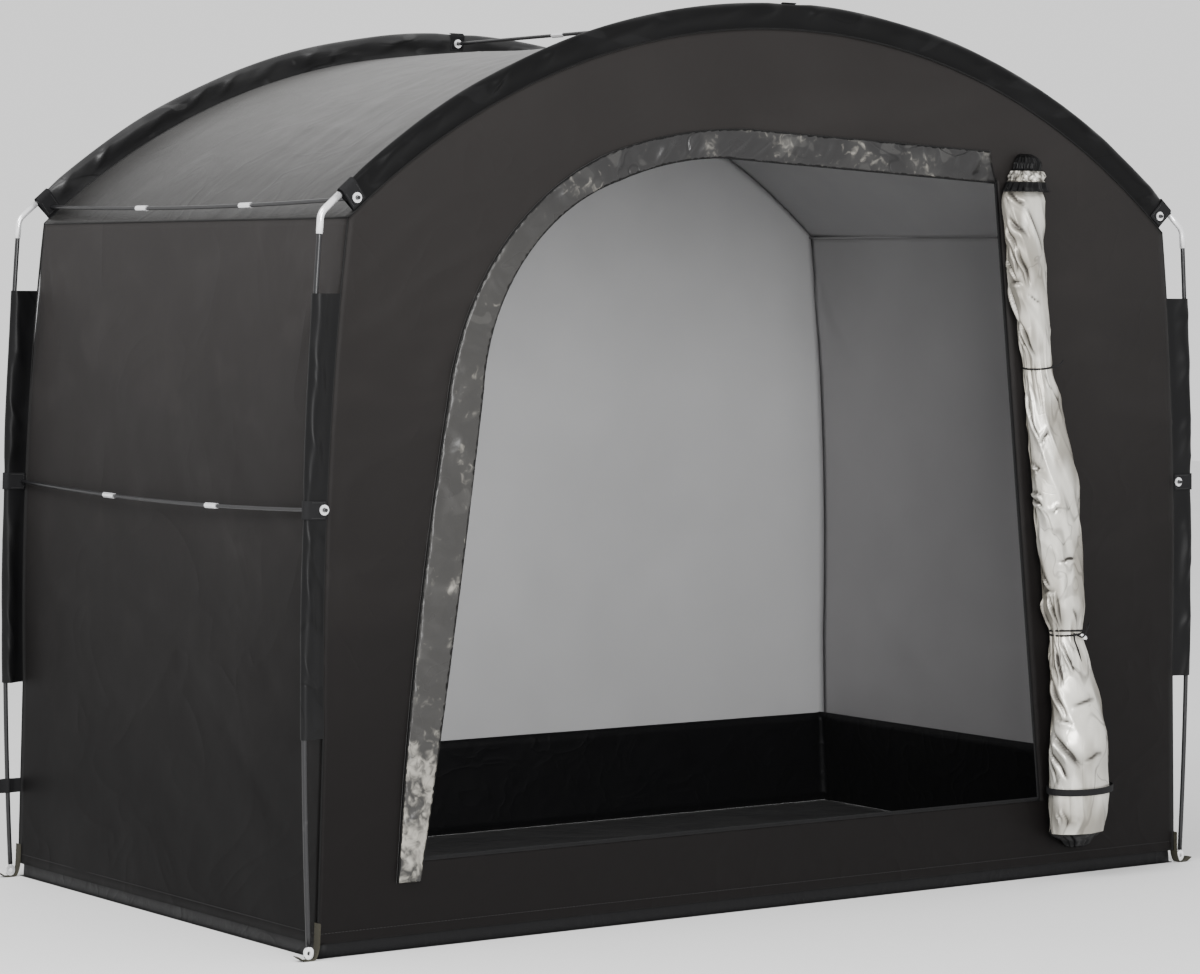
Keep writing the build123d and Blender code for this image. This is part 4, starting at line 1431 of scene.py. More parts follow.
@dataclass
class DoorRoll:
    """The rolled door panel: silver lining outside, tied in two places."""

    rings: tuple[RollRing, ...] = rings_of(
        (90, 700, 62, 36), (130, 700, 68, 42), (176, 700, 70, 44), (250, 698, 66, 44), (330, 698, 58, 36),
        (430, 684, 46, 28), (477, 678, 37, 23), (530, 668, 48, 29), (760, 638, 53, 34), (920, 610, 40, 27),
        (993, 597, 33, 21), (1050, 585, 38, 25), (1200, 556, 43, 29), (1310, 548, 50, 30), (1334, 551, 42.5, 24.5),
    )
    cut: Point = (0.5, 1.25)
    long_folds: Streaks = Streaks(-1.28, 5.0, 0.04, 1.3, 0.0045, 101.0)
    cross_folds: Streaks = Streaks(-0.75, 3.2, 0.06, 1.4, 0.003, 107.0)
    stand_off: float = 0.0038
    held_at: tuple[float, float, float, float] = (0.477, 0.993, 0.176, 1.343)
    columns: int = 130
    rows: int = 300
    first_turn: float = 2.6
    facing: float = 3.971

    def ring_at(self, height: float) -> RollRing:
        """Section at a height, eased between the named ones."""
        for low, high in zip(self.rings, self.rings[1:]):
            if height <= high.height:
                share = max(0.0, (height - low.height) / (high.height - low.height))
                return low.toward(high, smooth(share) * 0.5 + share * 0.5)
        return self.rings[-1]

    def crumple(self, turn: float, height: float) -> float:
        """How far the foil-like cloth is pushed in or out, in metres."""
        spiral = turn * 0.055
        folds = self.long_folds.at(spiral, height) + self.cross_folds.at(spiral, height)
        return folds + ripple(spiral, height, 0.07, 103.0) * 0.003 - 0.004

    def creased(self, turn: float, height: float) -> Point:
        """Push and painted shade of all the sharp folds at a point, with painted shade down the roll's right-hand side
        and in broad patches.
        """
        along = (turn - self.facing) * 0.05
        pairs = [crease.press(along, height) for crease in CREASES]
        # Painted shade: darker towards the roll's right-hand side and in broad soft patches.
        side = clamp((along - 0.026) / 0.04) * 0.3 + max(0.0, ripple(along, height, 0.09, 141.0)) * 0.4
        return sum(push for push, _ in pairs), min(1.0, max(dark for _, dark in pairs) + side)

    def build(self) -> None:
        """Roll the panel up and dress it."""
        low, high = self.rings[0].height, self.rings[-1].height

        def place(around: float, up: float) -> Vector:
            """Place of a point."""
            z = low + (high - low) * up
            ring = self.ring_at(z)
            turn = self.first_turn + 2 * pi * around
            push = self.crumple(turn, z) + self.creased(turn, z)[0]
            push *= 0.3 + 0.7 * min(1.0, min(abs(z - tie) for tie in self.held_at) / 0.06)
            near_tie = max(0.0, 1 - min(abs(z - tie) for tie in self.held_at[:2]) / 0.09)
            push += 0.002 * near_tie * cos(13 * turn + 4 * ripple(turn, z, 0.3, 109.0))
            wrap = -0.005 * (around % 1.0)
            out = 1 + (push + wrap) / ring.half_width
            x = ring.middle + ring.half_width * out * cos(turn)
            y = FRONT_Y - self.stand_off - ring.half_depth + ring.half_depth * out * sin(turn)
            return Vector((x, min(y, FRONT_Y - self.stand_off), z))

        mesh = bent_grid(self.columns, self.rows, place, self.cut)
        # Painted shade of the folds, kept on the vertices for the lining's finish.
        shade_layer, cut = mesh.verts.layers.float.new("Fold"), mesh.loops.layers.uv["Cut"]
        for face in mesh.faces:
            for loop in face.loops:
                around, up = loop[cut].uv.x / self.cut[0], loop[cut].uv.y / self.cut[1]
                if not loop.vert[shade_layer]:
                    turn = self.first_turn + 2 * pi * around
                    loop.vert[shade_layer] = 0.0001 + self.creased(turn, low + (high - low) * up)[1]
        heart = Vector((0.62, FRONT_Y - 0.035, 0.7))
        piece = settle(mesh, "rolled_door", (ROLL_LINING,), ("door_roll",), 0.0, heart)


@dataclass(frozen=True)
class Trail:
    """A smooth line through a few points."""

    points: tuple[Triple, ...]
    lowest: float = 0.0008

    def at(self, share: float) -> Vector:
        """Point at a share of the line, never below the ground.

        Args:
            share: Share of the line, from 0 to 1.

        Returns:
            The point.
        """
        last = len(self.points) - 1
        reach = clamp(share) * last
        index = min(int(reach), last - 1)
        step = reach - index
        a, b, c, d = (Vector(self.points[min(last, max(0, index + shift))]) for shift in (-1, 0, 1, 2))
        spot = 0.5 * (
            2 * b + (c - a) * step + (2 * a - 5 * b + 4 * c - d) * step**2 + (3 * b - a - 3 * c + d) * step**3
        )
        spot.z = max(spot.z, self.lowest)
        return spot


def heading(line: Line, share: float) -> Vector:
    """Direction of a line at a share of it."""
    return (line(min(1.0, share + 0.004)) - line(max(0.0, share - 0.004))).normalized()


def cord(line: Line, radius: float, steps: int, sides: int = 8, looped: bool = False) -> Mesh:
    """Round cord along a line, its ends closed.

    Args:
        line: Gives the point at a share of the line.
        radius: Radius of the cord.
        steps: Steps along it.
        sides: Faces round it.
        looped: Whether its end meets its start.

    Returns:
        The cord.
    """

    def place(along: float, around: float) -> Vector:
        """Place of a point of the cord's skin."""
        ahead = heading(line, along % 1.0 if looped else along)
        side = ahead.cross(Vector((0, 1, 0)))
        if side.length < 0.35:
            side = ahead.cross(Vector((0, 0, 1)))
        side.normalize()
        turn = 2 * pi * around
        return line(along % 1.0 if looped else along) + (side * cos(turn) + side.cross(ahead) * sin(turn)) * radius

    return closed_ends(bent_grid(steps, sides, place, (1.0, 0.01), True), sides)


def tape(
    line: Line, across: Sequence[float], width: float, thickness: float, steps: int, sides: int = 16
) -> Mesh:
    """Flat strap of webbing along a line, with soft edges.

    Args:
        line: Gives the point at a share of the strap's middle line.
        across: Direction of the strap's width.
        width: Width of the strap.
        thickness: Thickness of the strap.
        steps: Steps along it.
        sides: Faces round it.

    Returns:
        The strap, a closed shape.
    """
    wide = Vector(across).normalized()

    def place(along: float, around: float) -> Vector:
        """Place of a point of the strap's skin."""
        lift = heading(line, along).cross(wide).normalized()
        turn = 2 * pi * around
        flat = (cos(turn), sin(turn))
        sway = ripple(along * 3.0, 0.0, 1.0, 113.0) * 0.0004
        out = wide * width / 2 * (1 if flat[0] > 0 else -1) * abs(flat[0]) ** 0.35
        return line(along) + out + lift * (thickness / 2 * (1 if flat[1] > 0 else -1) * abs(flat[1]) ** 0.6 + sway)

    return closed_ends(bent_grid(steps, sides, place, (1.0, width), True), sides)


def stitches(line: Line, length: float, pitch: float = 0.0055, size: Point = (0.0034, 0.0009)) -> Mesh:
    """Row of short stitches along a line.

    Args:
        line: Gives the point at a share of the row.
        length: Length of the row.
        pitch: Distance from one stitch to the next.
        size: Length and thickness of a stitch.

    Returns:
        The stitches.
    """
    count = max(2, round(length / pitch))
    spots: list[Matrix] = []
    for step in range(count):
        share = (step + 0.5) / count
        turn = Vector((0, 0, 1)).rotation_difference(heading(line, share)).to_matrix().to_4x4()
        spots.append(Matrix.Translation(line(share)) @ turn @ Matrix.Diagonal((size[1], size[1], size[0], 1)))
    return small_bars(spots, 5, 0.5)


def small_bars(spots: Sequence[Matrix], sides: int, tip: float, batch: int = 50) -> Mesh:
    """Short bars at many places, made in batches because one growing bmesh is slow.

    Args:
        spots: Place, turn and size of each bar.
        sides: Faces round a bar.
        tip: Radius of its far end, before sizing.
        batch: Bars made in one bmesh.

    Returns:
        The bars.
    """
    batches = []
    for first in range(0, len(spots), batch):
        mesh = bmesh.new()
        for spot in spots[first : first + batch]:
            bmesh.ops.create_cone(
                mesh, cap_ends=True, segments=sides, radius1=0.5, radius2=tip, depth=1.0, matrix=spot
            )
        batches.append(mesh)
    return joined(batches)


def joined(meshes: Sequence[Mesh]) -> Mesh:
    """One bmesh made of several, which are freed."""
    whole = bmesh.new()
    for mesh in meshes:
        data = bpy.data.meshes.new("part")
        mesh.to_mesh(data)
        mesh.free()
        whole.from_mesh(data)
        bpy.data.meshes.remove(data)
    for face in whole.faces:
        face.smooth = True
    return whole


@dataclass(frozen=True)
class Tab:
    """Webbing folded over a sleeve and sewn to the cover: its place and how far it reaches."""

    reach: float
    arc: float = 0.0
    height: float = 0.0


UPPER_ROD_RADIUS = HOOP.arch_radius - 0.024
UPPER_TAB = Tab(0.0375, asin(0.931 / UPPER_ROD_RADIUS) * HOOP.arch_radius)
MID_TAB = Tab(HOOP.leg_x(0.762) - HOOP.wall_x(0.762) - 0.0008, 0.0, 0.762)
APEX_TAB = Tab(0.0275)


@dataclass
class Tabs:
    """The black tabs that hold the rods' ends, with their stitching."""

    width: float = 0.032
    inner: float = 0.0068
    thickness: float = 0.0015
    seam_half: float = 0.0012
    arc_share: float = 0.3
    stitch_margin: float = 0.09
    row_share: float = 0.82

    def frame_at(self, tab: Tab, hand: int) -> tuple[Vector, Vector, Vector]:
        """Pole point, outward direction and direction along the pole of a tab, at depth 0."""
        if tab.height:
            x, z, _ = HOOP.leg.circle()
            lean = atan2(tab.height - z, HOOP.leg_x(tab.height) - x)
            spot, out = Vector((HOOP.leg_x(tab.height), 0, tab.height)), Vector((cos(lean), 0, sin(lean)))
        else:
            turn = tab.arc / HOOP.arch_radius
            x, z = HOOP.on_arch(HOOP.arch_radius, turn)
            spot, out = Vector((x, 0, z)), Vector((sin(turn), 0, cos(turn)))
        spot.x, out.x = spot.x * hand, out.x * hand
        return spot, out, out.cross(Vector((0, 1, 0)))

    def patch(self, tab: Tab, end: End, hand: int, front_only: bool = False) -> list[Mesh]:
        """One folded tab and its stitches.

        Args:
            tab: Which tab.
            end: The hoop that it sits on.
            hand: 1 on the right, -1 on the left.
            front_only: Whether it lies on the inner side of the hoop alone.

        Returns:
            The webbing, and the stitches on its faces.
        """
        spot, out, along = self.frame_at(tab, hand)
        depth = HOOP_Y[end]

        def section(share: float, grow: float) -> tuple[float, float]:
            """Distance outwards from the pole and in front of it, round the fold."""
            half = abs(2 * share - 1)
            ring = self.inner + grow
            face = 1 if share < 0.5 else -1
            if half > self.arc_share:
                run = (half - self.arc_share) / (1 - self.arc_share)
                return -tab.reach * run, face * (ring + (self.seam_half + grow - ring) * run)
            turn = half / self.arc_share * pi / 2
            return ring * cos(turn), face * ring * sin(turn)

        def place(grow: float, round_: float, wide: float) -> Vector:
            """Place of a point of the webbing, grown outwards."""
            share = round_ * 0.5 + 0.5 if front_only else round_
            reach, front = section(share, grow)
            pinch = 1 - 0.06 * sin(pi * wide) * abs(2 * share - 1)
            shift = (wide - 0.5) * self.width * pinch
            spread = spot + out * reach + along * shift
            toward = -1 if front_only and end is End.BACK else 1
            return Vector((spread.x, depth - front * toward, spread.z))

        web = bent_grid(28, 10, partial(place, self.thickness), (0.1, self.width))
        bmesh.ops.recalc_face_normals(web, faces=web.faces[:])
        middle = Vector((spot.x, depth, spot.z))
        face_outwards(web, middle)
        bmesh.ops.solidify(web, geom=web.faces[:], thickness=self.thickness)
        bmesh.ops.recalc_face_normals(web, faces=web.faces[:])
        top = partial(place, self.thickness + 0.0002)
        rows: list[Mesh] = []
        margin, length = self.stitch_margin, self.row_share
        faces = ((0.04, 0.3),) if not front_only else ()
        for start, stop in faces + ((0.7, 0.96),):
            for wide in (margin, 1 - margin):
                rows.append(stitches(lambda share, w=wide, a=start, b=stop: top(a + (b - a) * share, w), tab.reach))
            edge = start if start < 0.5 else stop
            rows.append(stitches(lambda share, e=edge: top(e, margin + length * share), self.width * length))
        return [web, joined(rows)]

    def build(self) -> None:
        """Sew every tab."""
        groups = (("shoulder", UPPER_TAB, (-1, 1)), ("mid", MID_TAB, (-1, 1)), ("apex", APEX_TAB, (1,)))
        for name, tab, hands in groups:
            pairs = [self.patch(tab, end, hand, name == "apex") for end in End for hand in hands]
            webs = joined([web for web, _ in pairs])
            settle(webs, f"{name}_webbing", (BLACK_WEBBING,), (f"{name}_tabs",))
            settle(joined([thread for _, thread in pairs]), f"{name}_stitches", (STITCH,))


@dataclass
class Straps:
    """Foot straps under the lugs and cuffs round the two back legs."""

    width: float = 0.02
    thickness: float = 0.0015
    rise: float = 0.062
    lug_half: float = 0.009
    tail: float = 0.024
    cuff_height: float = 0.176
    cuff_width: float = 0.027
    cuff_tail: float = 0.038

    def feet(self) -> None:
        """Lay the four foot straps."""
        meshes = []
        foot = HOOP.leg_x(HOOP.foot_height)
        low = self.thickness / 2 + 0.0001
        for end in End:
            for hand in (-1, 1):
                depth = HOOP_Y[end]
                side = (
                    (HOOP.wall_x(self.rise) + 0.0012, self.rise),
                    (HOOP.wall_x(0.04) + 0.0013, 0.04),
                    (HOOP.wall_hem + 0.0022, 0.02),
                    (foot - self.lug_half - 0.0012, 0.0045),
                    (foot - self.lug_half / 2, low),
                    (foot + self.lug_half, low),
                    (foot + self.tail * 0.65, 0.0035),
                    (foot + self.tail, 0.0088),
                )
                trail = Trail(tuple((hand * x, depth, z) for x, z in side), low)
                meshes.append(tape(trail.at, (0, 1, 0), self.width, self.thickness, 48))
                for shift in (-0.42, 0.42):
                    row = Trail(tuple((hand * (x + 0.0008), depth + shift * self.width, z) for x, z in side[:3]))
                    meshes.append(stitches(row.at, 0.045))
        settle(joined(meshes), "foot_webbing", (OLIVE_WEBBING,), ("foot_straps",))

    def cuffs(self) -> None:
        """Wrap the cuffs round the back legs."""
        meshes = []
        leg = HOOP.leg_x(self.cuff_height)
        wall = HOOP.wall_x(self.cuff_height) + 0.001
        ring = HOOP.pole_radius + 0.0012
        for hand in (-1, 1):
            for face in (-1, 1):
                side = (
                    (wall, 0.0009),
                    ((wall + leg) / 2, 0.0012),
                    (leg - ring * 1.1, ring * 0.6),
                    (leg, ring),
                    (leg + ring * 1.1, ring * 0.55),
                    (leg + self.cuff_tail * 0.5, 0.0011),
                    (leg + self.cuff_tail, 0.0009),
                )
                trail = Trail(tuple((hand * x, BACK_Y + face * off, self.cuff_height) for x, off in side))
                meshes.append(tape(trail.at, (0, 0, 1), self.cuff_width, self.thickness, 44))
        settle(joined(meshes), "cuff_webbing", (BLACK_WEBBING,), ("cuff_straps",))

    def build(self) -> None:
        """Lay every strap."""
        self.feet()
        self.cuffs()


@dataclass
class RollTrim:
    """What holds the rolled door: gathered cap, cords with a toggle, hem band and tail."""

    roll: DoorRoll
    cord_radius: float = 0.0019
    toggle_shift: Triple = (0.012, -0.0055, -0.001)
    toggle_length: float = 0.02
    toggle_radius: float = 0.0046
    band_height: float = 0.176
    band_width: float = 0.013
    band_thickness: float = 0.0016
    cap_rings: tuple[RollRing, ...] = rings_of(
        (1327, 551, 53, 31.5), (1334.5, 553, 47, 28), (1344, 556, 43.5, 26), (1349, 558, 37.5, 22.5),
        (1357, 560, 41, 24.5), (1366, 562.5, 35.5, 21.5), (1370, 565, 30, 18.5), (1382, 567, 30.5, 18.5),
        (1392, 568, 24.5, 15), (1399, 568.5, 14, 9), (1400.5, 568.5, 3, 2),
    )
    silver_collar: Point = (1.3465, 1.3665)
    tail_rings: tuple[RollRing, ...] = rings_of(
        (104, 702, 52, 30), (92, 702, 56, 32), (83, 708, 50, 28), (72, 716, 34, 20), (61, 719, 28, 15),
        (56.5, 719, 20, 11),
    )

    def middle_y(self, half_depth: float) -> float:
        """Depth of the roll's middle where it is half_depth thick."""
        return FRONT_Y - self.roll.stand_off - half_depth

    def gathered(self, rings: Sequence[RollRing], pleats: int, depth: float, seed: float) -> Mesh:
        """Skin through some rings, gathered into pleats.

        Args:
            rings: Rings from one end to the other.
            pleats: Pleats round it.
            depth: How deep the pleats are, as a share of the width.
            seed: Seed of its unevenness.

        Returns:
            The skin.
        """
        rows = 5 * (len(rings) - 1)

        def place(around: float, up: float) -> Vector:
            """Place of a point of the gathered cloth."""
            reach = up * (len(rings) - 1)
            index = min(int(reach), len(rings) - 2)
            z, middle, wide, deep = astuple(rings[index].toward(rings[index + 1], reach - index))
            turn = 2 * pi * (around % 1.0)
            sway = ripple(cos(turn), sin(turn), 0.9, seed) * 1.6
            out = 1 + depth * cos(pleats * turn + sway * 2 + up * 2.5) * (0.6 + 0.6 * sway)
            out += depth * 0.5 * cos((pleats * 2 + 3) * turn - up * 4)
            y = self.middle_y(deep) + deep * out * sin(turn)
            return Vector((middle + wide * out * cos(turn), min(y, FRONT_Y - self.roll.stand_off + 0.0008), z))

        return bent_grid(110, rows, place, (0.4, 0.09), True)

    def cap(self) -> None:
        """Gather the cap: a black bunch over a silver collar."""
        mesh = closed_ends(self.gathered(self.cap_rings, 9, 0.11, 121.0))
        # Painted shade in the collar's folds, read by the lining's finish.
        shade_layer = mesh.verts.layers.float.new("Fold")
        for vertex in mesh.verts:
            x, _, z = vertex.co
            vertex[shade_layer] = fold(x * 1.5 + z, z - x * 0.6, 0.013, 123.0, 1.2)
        low, high = self.silver_collar
        for face in mesh.faces:
            face.material_index = int(low < face.calc_center_median().z < high)
        piece = settle(mesh, "roll_cap", (SLEEVE_CLOTH, ROLL_LINING), ("door_roll_cap",))

    def tail(self) -> None:
        """Fold the tail that shows under the roll."""
        mesh = closed_ends(self.gathered(self.tail_rings, 4, 0.2, 127.0))
        piece = settle(mesh, "roll_tail", (SLEEVE_CLOTH,), ("door_roll_tail",))

    def round_roll(self, height: float, slant: float, grow: float, share: float) -> Vector:
        """Point at a share of the way round the roll at a height, a little slanted."""
        ring, turn = self.roll.ring_at(height), 2 * pi * share
        x = ring.middle + (ring.half_width + grow) * cos(turn)
        y = self.middle_y(ring.half_depth) + (ring.half_depth + grow) * sin(turn)
        return Vector((x, min(y, FRONT_Y - self.roll.stand_off + 0.0018), height + slant * sin(turn + 0.8)))

    def knot(self, height: float) -> Triple:
        """Middle of the roll's seen side at a height."""
        ring = self.roll.ring_at(height)
        return ring.middle, self.middle_y(ring.half_depth) - ring.half_depth, height

    def ties(self) -> None:
        """Tie the two cords, with their loose ends and the toggle."""
        lower, upper = self.roll.held_at[:2]
        above, below, radius = self.knot(upper), self.knot(lower), self.cord_radius
        meshes = [
            cord(partial(self.round_roll, *turn), radius, 64, looped=True)
            for turn in ((upper, 0.004, 0.0006), (lower, 0.003, 0.0006), (lower + 0.005, -0.002, 0.0008))
        ]
        ends = (
            (above, (0.02, 0.004, 0.0), (0.032, -0.003, 0.004), (0.05, 0.004, 0.012)),
            (below, (-0.002, -0.002, 0.002), (-0.006, -0.008, -0.012), (0.004, -0.009, -0.034),
             (0.014, -0.008, -0.062)),
            (below, (0.002, -0.002, 0.0), (0.014, -0.009, -0.006), (0.026, -0.007, 0.008), (0.044, 0.006, 0.018)),
        )
        for knot, *shifts in ends:
            trail = Trail(tuple(tuple(a + b for a, b in zip(knot, shift)) for shift in shifts))
            meshes.append(cord(trail.at, radius * 0.85, 26))
        settle(joined(meshes), "tie_cords", (BLACK_WEBBING,), ("door_ties",))
        start = Vector([a + b for a, b in zip(below, self.toggle_shift)])
        ahead = Vector((0.86, 0.1, -0.5)).normalized()

        def place(along: float, around: float) -> Vector:
            """Place of a point of the turned toggle."""
            turn = 2 * pi * (around % 1.0)
            side = ahead.cross(Vector((0, 1, 0))).normalized()
            waist = 1 - 0.35 * max(0.0, 1 - abs(along - 0.5) / 0.12)
            out = self.toggle_radius * max(0.0, sin(pi * along)) ** 0.45 * waist
            spot = start + ahead * self.toggle_length * along
            return spot + (side * cos(turn) + side.cross(ahead) * sin(turn)) * out

        toggle = bent_grid(28, 20, place, (0.02, 0.03), True)
        bmesh.ops.recalc_face_normals(toggle, faces=toggle.faces[:])
        settle(toggle, "tie_toggle", (BRIGHT_STEEL,))

    def band(self) -> None:
        """Wrap the black band round the foot of the roll."""
        ring = partial(self.round_roll, self.band_height, 0.0025, 0.0045)
        mesh = tape(lambda share: ring(share % 1.0), (0, 0, 1), self.band_width, self.band_thickness, 96)
        settle(mesh, "hem_band", (BLACK_WEBBING,), ("door_hem_band",))

    def build(self) -> None:
        """Make every piece of the trim."""
        self.cap()
        self.tail()
        self.ties()
        self.band()


@dataclass
class Seams:
    """Piped seams along the cover's corners, its eaves and the flap, and their stitching."""

    radius: float = 0.0017
    piping: float = 0.0019
    binding: float = 0.0026

    def corner(self, end: End, hand: int, share: float) -> Vector:
        """Point up a corner of the cover."""
        z = HOOP.hem_height + (HOOP.wall_top_height - HOOP.hem_height) * share
        return Vector((hand * HOOP.wall_x(z), HOOP_Y[end] - end.value * 0.0004, z))

    def arch(self, end: End, share: float) -> Vector:
        """Point along the arched seam of an end wall."""
        x, z = HOOP.on_arch(HOOP.seam_radius - 0.0006, (2 * share - 1) * HOOP.seam_angle)
        return Vector((x, HOOP_Y[end] + end.value * 0.0012, z))

    def eave(self, hand: int, share: float) -> Vector:
        """Point along a side wall's top."""
        z = HOOP.wall_top_height - 0.0008
        return Vector((hand * HOOP.wall_top, MIDDLE_Y + (2 * share - 1) * HALF_DEPTH, z))

    def hem_lines(self) -> list[tuple[Line, float]]:
        """Lines of stitching above the hem of the four walls, with their lengths."""
        rows: list[tuple[Line, float]] = []
        z = HOOP.hem_height + 0.018
        half = HOOP.wall_x(z)
        for end in End:
            y = HOOP_Y[end] + end.value * 0.0013
            rows.append((lambda share, y=y: Vector(((2 * share - 1) * half * 0.996, y, z)), 2 * half))
        for hand in (-1, 1):
            x = hand * (half + 0.0002)
            rows.append((lambda share, x=x: Vector((x, MIDDLE_Y + (2 * share - 1) * HALF_DEPTH * 0.99, z)), 1.09))
        return rows

    def flap_edge(self, edge: Outline, counts: Sequence[int], share: float) -> Vector:
        """Point along an edge of the storm flap."""
        x, z = edge.at(clamp(share), counts)
        lift = (ripple(share * 3.4, z, 0.02, 131.0) + 0.7) * 0.0009
        return Vector((x, FRONT_Y - 0.0026 - lift, z))

    def build(self) -> None:
        """Sew every seam."""
        meshes = [cord(partial(self.corner, end, hand), self.radius, 60, 6) for end in End for hand in (-1, 1)]
        meshes += [cord(partial(self.eave, hand), self.radius, 24, 6) for hand in (-1, 1)]
        meshes += [cord(partial(self.arch, end), self.radius, 120, 6) for end in End]
        settle(joined(meshes), "cover_seams", (SEAM_CLOTH,))
        binding = []
        for hand in (-1, 1):
            inwards = Vector((hand * 0.0046, 0, 0.0016))
            binding.append(cord(lambda share, h=hand, i=inwards: self.eave(h, share) - i, self.binding, 24, 6))
        settle(joined(binding), "eave_binding", (SIDE_LINER,))
        flap = StormFlap()
        edges = flap.outer(), flap.inner()
        outer, inner = (partial(self.flap_edge, edge, edges[0].steps(flap.pitch)) for edge in edges)
        settle(
            joined([cord(outer, self.piping, 420, 6), cord(inner, self.piping, 420, 6)]),
            "flap_piping", (SEAM_CLOTH,),
        )
        rows = [stitches(line, length, 0.007, (0.0042, 0.0008)) for line, length in self.hem_lines()]
        shift = Vector((-0.0045, -0.0004, 0.0))
        rows.append(stitches(lambda share: outer(share) + shift, 3.3, 0.006, (0.0038, 0.0009)))
        settle(joined(rows), "seam_stitches", (STITCH,))


def spun_tube(path: Stretch, radius: float, depth: float, side: int, sides: int, steps: int) -> Mesh:
    """Round bar along an arc of the hoop's plane.

    Args:
        path: The arc, as half spans and heights.
        radius: Radius of the bar.
        depth: Depth of the hoop's plane.
        side: 1 for the right-hand side, -1 for the left.
        sides: Faces round the bar.
        steps: Steps along it.

    Returns:
        The bar, with closed ends.
    """
    mesh = bmesh.new()
    x, z, bend = path.circle()
    start = Vector((*path.start, 0)) - Vector((x, z, 0))
    end = Vector((*path.end, 0)) - Vector((x, z, 0))
    first = atan2(start.y, start.x)
    sweep = (atan2(end.y, end.x) - first + pi) % (2 * pi) - pi
    ring = Matrix.Translation((x + bend * cos(first), depth, z + bend * sin(first)))
    ring = ring @ Matrix.Rotation(-first, 4, "Y")
    bmesh.ops.create_circle(mesh, cap_ends=True, segments=sides, radius=radius, matrix=ring)
    bmesh.ops.spin(
        mesh, geom=mesh.faces[:], cent=(x, depth, z), axis=(0, 1, 0), angle=-sweep, steps=steps, use_duplicate=False
    )
    bmesh.ops.recalc_face_normals(mesh, faces=mesh.faces[:])
    if side < 0:
        to_left(mesh)
    for face in mesh.faces:
        face.smooth = len(face.verts) == 4
    return mesh


@dataclass
class Poles:
    """Legs, arch poles and the bright elbows between them."""

    sides: int = 20
    steps: int = 48
    socket: float = 0.018
    elbow_radius: float = 0.006
    elbow_bend: float = 0.026
    elbow_wall: float = 0.0012
    bend_steps: int = 10

    def leg(self, end: End, hand: Hand) -> None:
        """One leg."""
        top = HOOP.shoulder_height - HOOP.elbow_leg_run + self.socket
        middle = (HOOP.foot_height + top) / 2
        path = Stretch(*((HOOP.leg_x(z), z) for z in (HOOP.foot_height, top, middle)))
        mesh = spun_tube(path, HOOP.pole_radius, HOOP_Y[end], hand.value, self.sides, self.steps)
        node = f"{end.word}_{hand.word}_leg"
        settle(mesh, f"{node}_pole", (POLE_PAINT,), (node,))

    def arch(self, end: End) -> None:
        """One arch pole."""
        reach = HOOP.elbow_angle + self.socket / HOOP.arch_radius
        points = [HOOP.on_arch(HOOP.arch_radius, turn) for turn in (-reach, reach, 0)]
        mesh = spun_tube(Stretch(*points), HOOP.pole_radius, HOOP_Y[end], 1, self.sides, 2 * self.steps)
        node = f"{end.word}_arch_pole"
        settle(mesh, f"{node}_bar", (POLE_PAINT,), (node,))

    def elbow(self, end: End, hand: Hand) -> None:
        """One bent tube that joins a leg to the arch."""
        base = HOOP.shoulder_height - HOOP.elbow_leg_run
        x, z, _ = HOOP.leg.circle()
        lean = atan2(base - z, HOOP.leg_x(base) - x) + pi / 2
        start = Vector((HOOP.leg_x(base), base))
        end_point = Vector(HOOP.on_arch(HOOP.arch_radius, HOOP.elbow_angle))
        along = Vector((cos(lean), sin(lean)))
        turn_to = pi - HOOP.elbow_angle
        arrive = Vector((cos(turn_to), sin(turn_to)))
        gap = end_point - start
        cross = along.x * arrive.y - along.y * arrive.x
        corner = start + along * ((gap.x * arrive.y - gap.y * arrive.x) / cross)
        bend = turn_to - lean
        run = self.elbow_bend * tan(bend / 2)
        first, last = corner - along * run, corner + arrive * run
        centre = first + Vector((-along.y, along.x)) * self.elbow_bend
        depth = HOOP_Y[end]
        mesh = bmesh.new()
        ring = Matrix.Translation((start.x, depth, start.y)) @ Matrix.Rotation(pi / 2 - lean, 4, "Y")
        bmesh.ops.create_circle(mesh, segments=self.sides, radius=self.elbow_radius, matrix=ring)
        edges = mesh.edges[:]
        for move in (first - start, None, end_point - last):
            if move is None:
                middle, steps = (centre.x, depth, centre.y), self.bend_steps
                made = bmesh.ops.spin(mesh, geom=edges, cent=middle, axis=(0, 1, 0), angle=-bend, steps=steps)
                edges = [item for item in made["geom_last"] if isinstance(item, bmesh.types.BMEdge)]
            else:
                made = bmesh.ops.extrude_edge_only(mesh, edges=edges)
                moved = [item for item in made["geom"] if isinstance(item, bmesh.types.BMVert)]
                bmesh.ops.translate(mesh, verts=moved, vec=(move.x, 0, move.y))
                edges = [item for item in made["geom"] if isinstance(item, bmesh.types.BMEdge)
                         and all(vert in moved for vert in item.verts)]
        bmesh.ops.recalc_face_normals(mesh, faces=mesh.faces[:])
        bmesh.ops.solidify(mesh, geom=mesh.faces[:], thickness=self.elbow_wall)
        if hand is Hand.LEFT:
            to_left(mesh)
        for face in mesh.faces:
            face.smooth = True
        node = f"{end.word}_{hand.word}_elbow"
        settle(mesh, f"{node}_tube", (BRIGHT_STEEL,), (node,))

    def build(self) -> None:
        """Make every pole and elbow."""
        for end in End:
            self.arch(end)
        for end in End:
            for hand in Hand:
                self.leg(end, hand)
                self.elbow(end, hand)


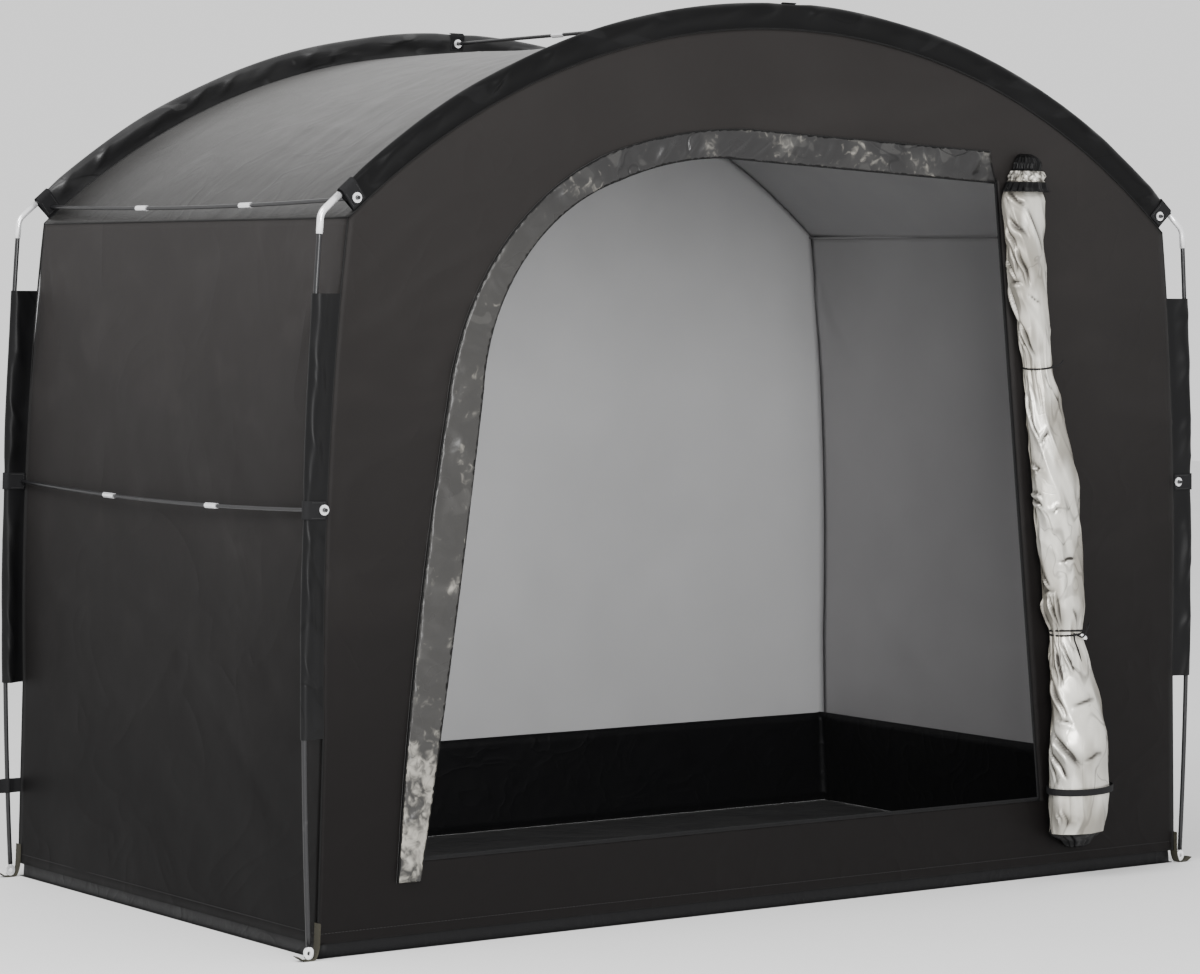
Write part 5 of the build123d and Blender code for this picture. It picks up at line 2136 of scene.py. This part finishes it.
@dataclass
class Fittings:
    """The plain CAD nodes that keep their shape and get a better finish."""

    painted: tuple[str, ...] = ("left_upper_rod", "right_upper_rod", "left_mid_rod", "right_mid_rod", "ridge_rod")
    bright: tuple[str, ...] = ("rod_ferrules", "rod_washers", "foot_lugs")

    def build(self) -> None:
        """Dress the kept nodes."""
        for names, finish in ((self.painted, POLE_PAINT), (self.bright, BRIGHT_STEEL)):
            for name in names:
                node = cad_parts[name]
                node.data.materials.clear()
                node.data.materials.append(dressed(finish))


@dataclass
class Studio:
    """Camera, plain pale floor and soft light."""

    eye: Triple = (-4.332, -5.9455, 1.135)
    heading: float = 0.624
    pitch: float = -0.052
    roll: float = 0.007
    focal_pixels: float = 3788.8
    picture_width: float = 1200.0
    sky: float = 1.2

    def camera(self) -> None:
        """Set the camera up where the photograph was taken from."""
        data = bpy.data.cameras.new("camera")
        data.sensor_width = 36.0
        data.lens = self.focal_pixels * data.sensor_width / self.picture_width
        data.clip_start, data.clip_end = 0.1, 60.0
        camera = linked("camera", data)
        ahead = Vector(
            (sin(self.heading) * cos(self.pitch), cos(self.heading) * cos(self.pitch), sin(self.pitch))
        )
        right = Vector((cos(self.heading), -sin(self.heading), 0))
        up = right.cross(ahead)
        turned_right = right * cos(self.roll) + up * sin(self.roll)
        turned_up = up * cos(self.roll) - right * sin(self.roll)
        axes = Matrix((turned_right, turned_up, -ahead)).transposed()
        camera.matrix_world = Matrix.Translation(self.eye) @ axes.to_4x4()
        bpy.context.scene.camera = camera

    def lamp(self, name: str, spot: Sequence[float], aim: Sequence[float], size: float, power: float) -> None:
        """Hang one soft square lamp.

        Args:
            name: Name of the lamp.
            spot: Where it hangs.
            aim: Point it faces.
            size: Length of its sides.
            power: Watts.
        """
        data = bpy.data.lights.new(name, "AREA")
        data.shape, data.size, data.energy = "SQUARE", size, power
        lamp = linked(name, data)
        ahead = (Vector(aim) - Vector(spot)).normalized()
        lamp.matrix_world = Matrix.Translation(spot) @ ahead.to_track_quat("-Z", "Y").to_matrix().to_4x4()

    def floor(self) -> None:
        """Lay the pale floor."""
        mesh = bmesh.new()
        bmesh.ops.create_grid(mesh, x_segments=8, y_segments=8, size=14.0)
        data = bpy.data.meshes.new("studio_floor")
        mesh.to_mesh(data)
        mesh.free()
        floor = linked("studio_floor", data)
        graph = Graph("studio_floor")
        speck = graph.grain(graph.coordinates("Object"), 3.0, 2.0)
        tone = graph.mix(speck, (0.8, 0.8, 0.8), (0.83, 0.83, 0.83))
        data.materials.append(graph.finish({"Base Color": tone, "Roughness": 0.9}))

    def build(self) -> None:
        """Set everything up."""
        self.camera()
        self.floor()
        world = bpy.data.worlds.new("studio")
        world.use_nodes = True
        colour, strength = world.node_tree.nodes["Background"].inputs[:2]
        colour.default_value, strength.default_value = (1.0, 1.0, 1.0, 1.0), self.sky
        bpy.context.scene.world = world
        self.lamp("key", (-4.5, -1.5, 5.0), (0, 0, 0.9), 3.0, 300.0)
        self.lamp("door_fill", (-2.2, -5.5, 2.2), (0.2, 0.4, 0.8), 2.4, 320.0)


def main() -> None:
    """Build the shelter piece by piece."""
    logging.basicConfig(level=logging.INFO)
    roll = DoorRoll()
    sleeves = [
        sleeve for end in End for sleeve in (ArchSleeve(end=end), *(LegSleeve(end=end, hand=hand) for hand in Hand))
    ]
    for assembly in (
        Studio(), Fittings(), Poles(), FrontWall(), BackWall(), *map(SideWall, Hand), Roof(), *sleeves,
        GroundSheet(), StormFlap(), DoorZip(), roll, RollTrim(roll), Tabs(), Straps(), Seams(),
    ):
        LOG.info("%s", type(assembly).__name__)
        assembly.build()


if __name__ == "__main__":
    main()
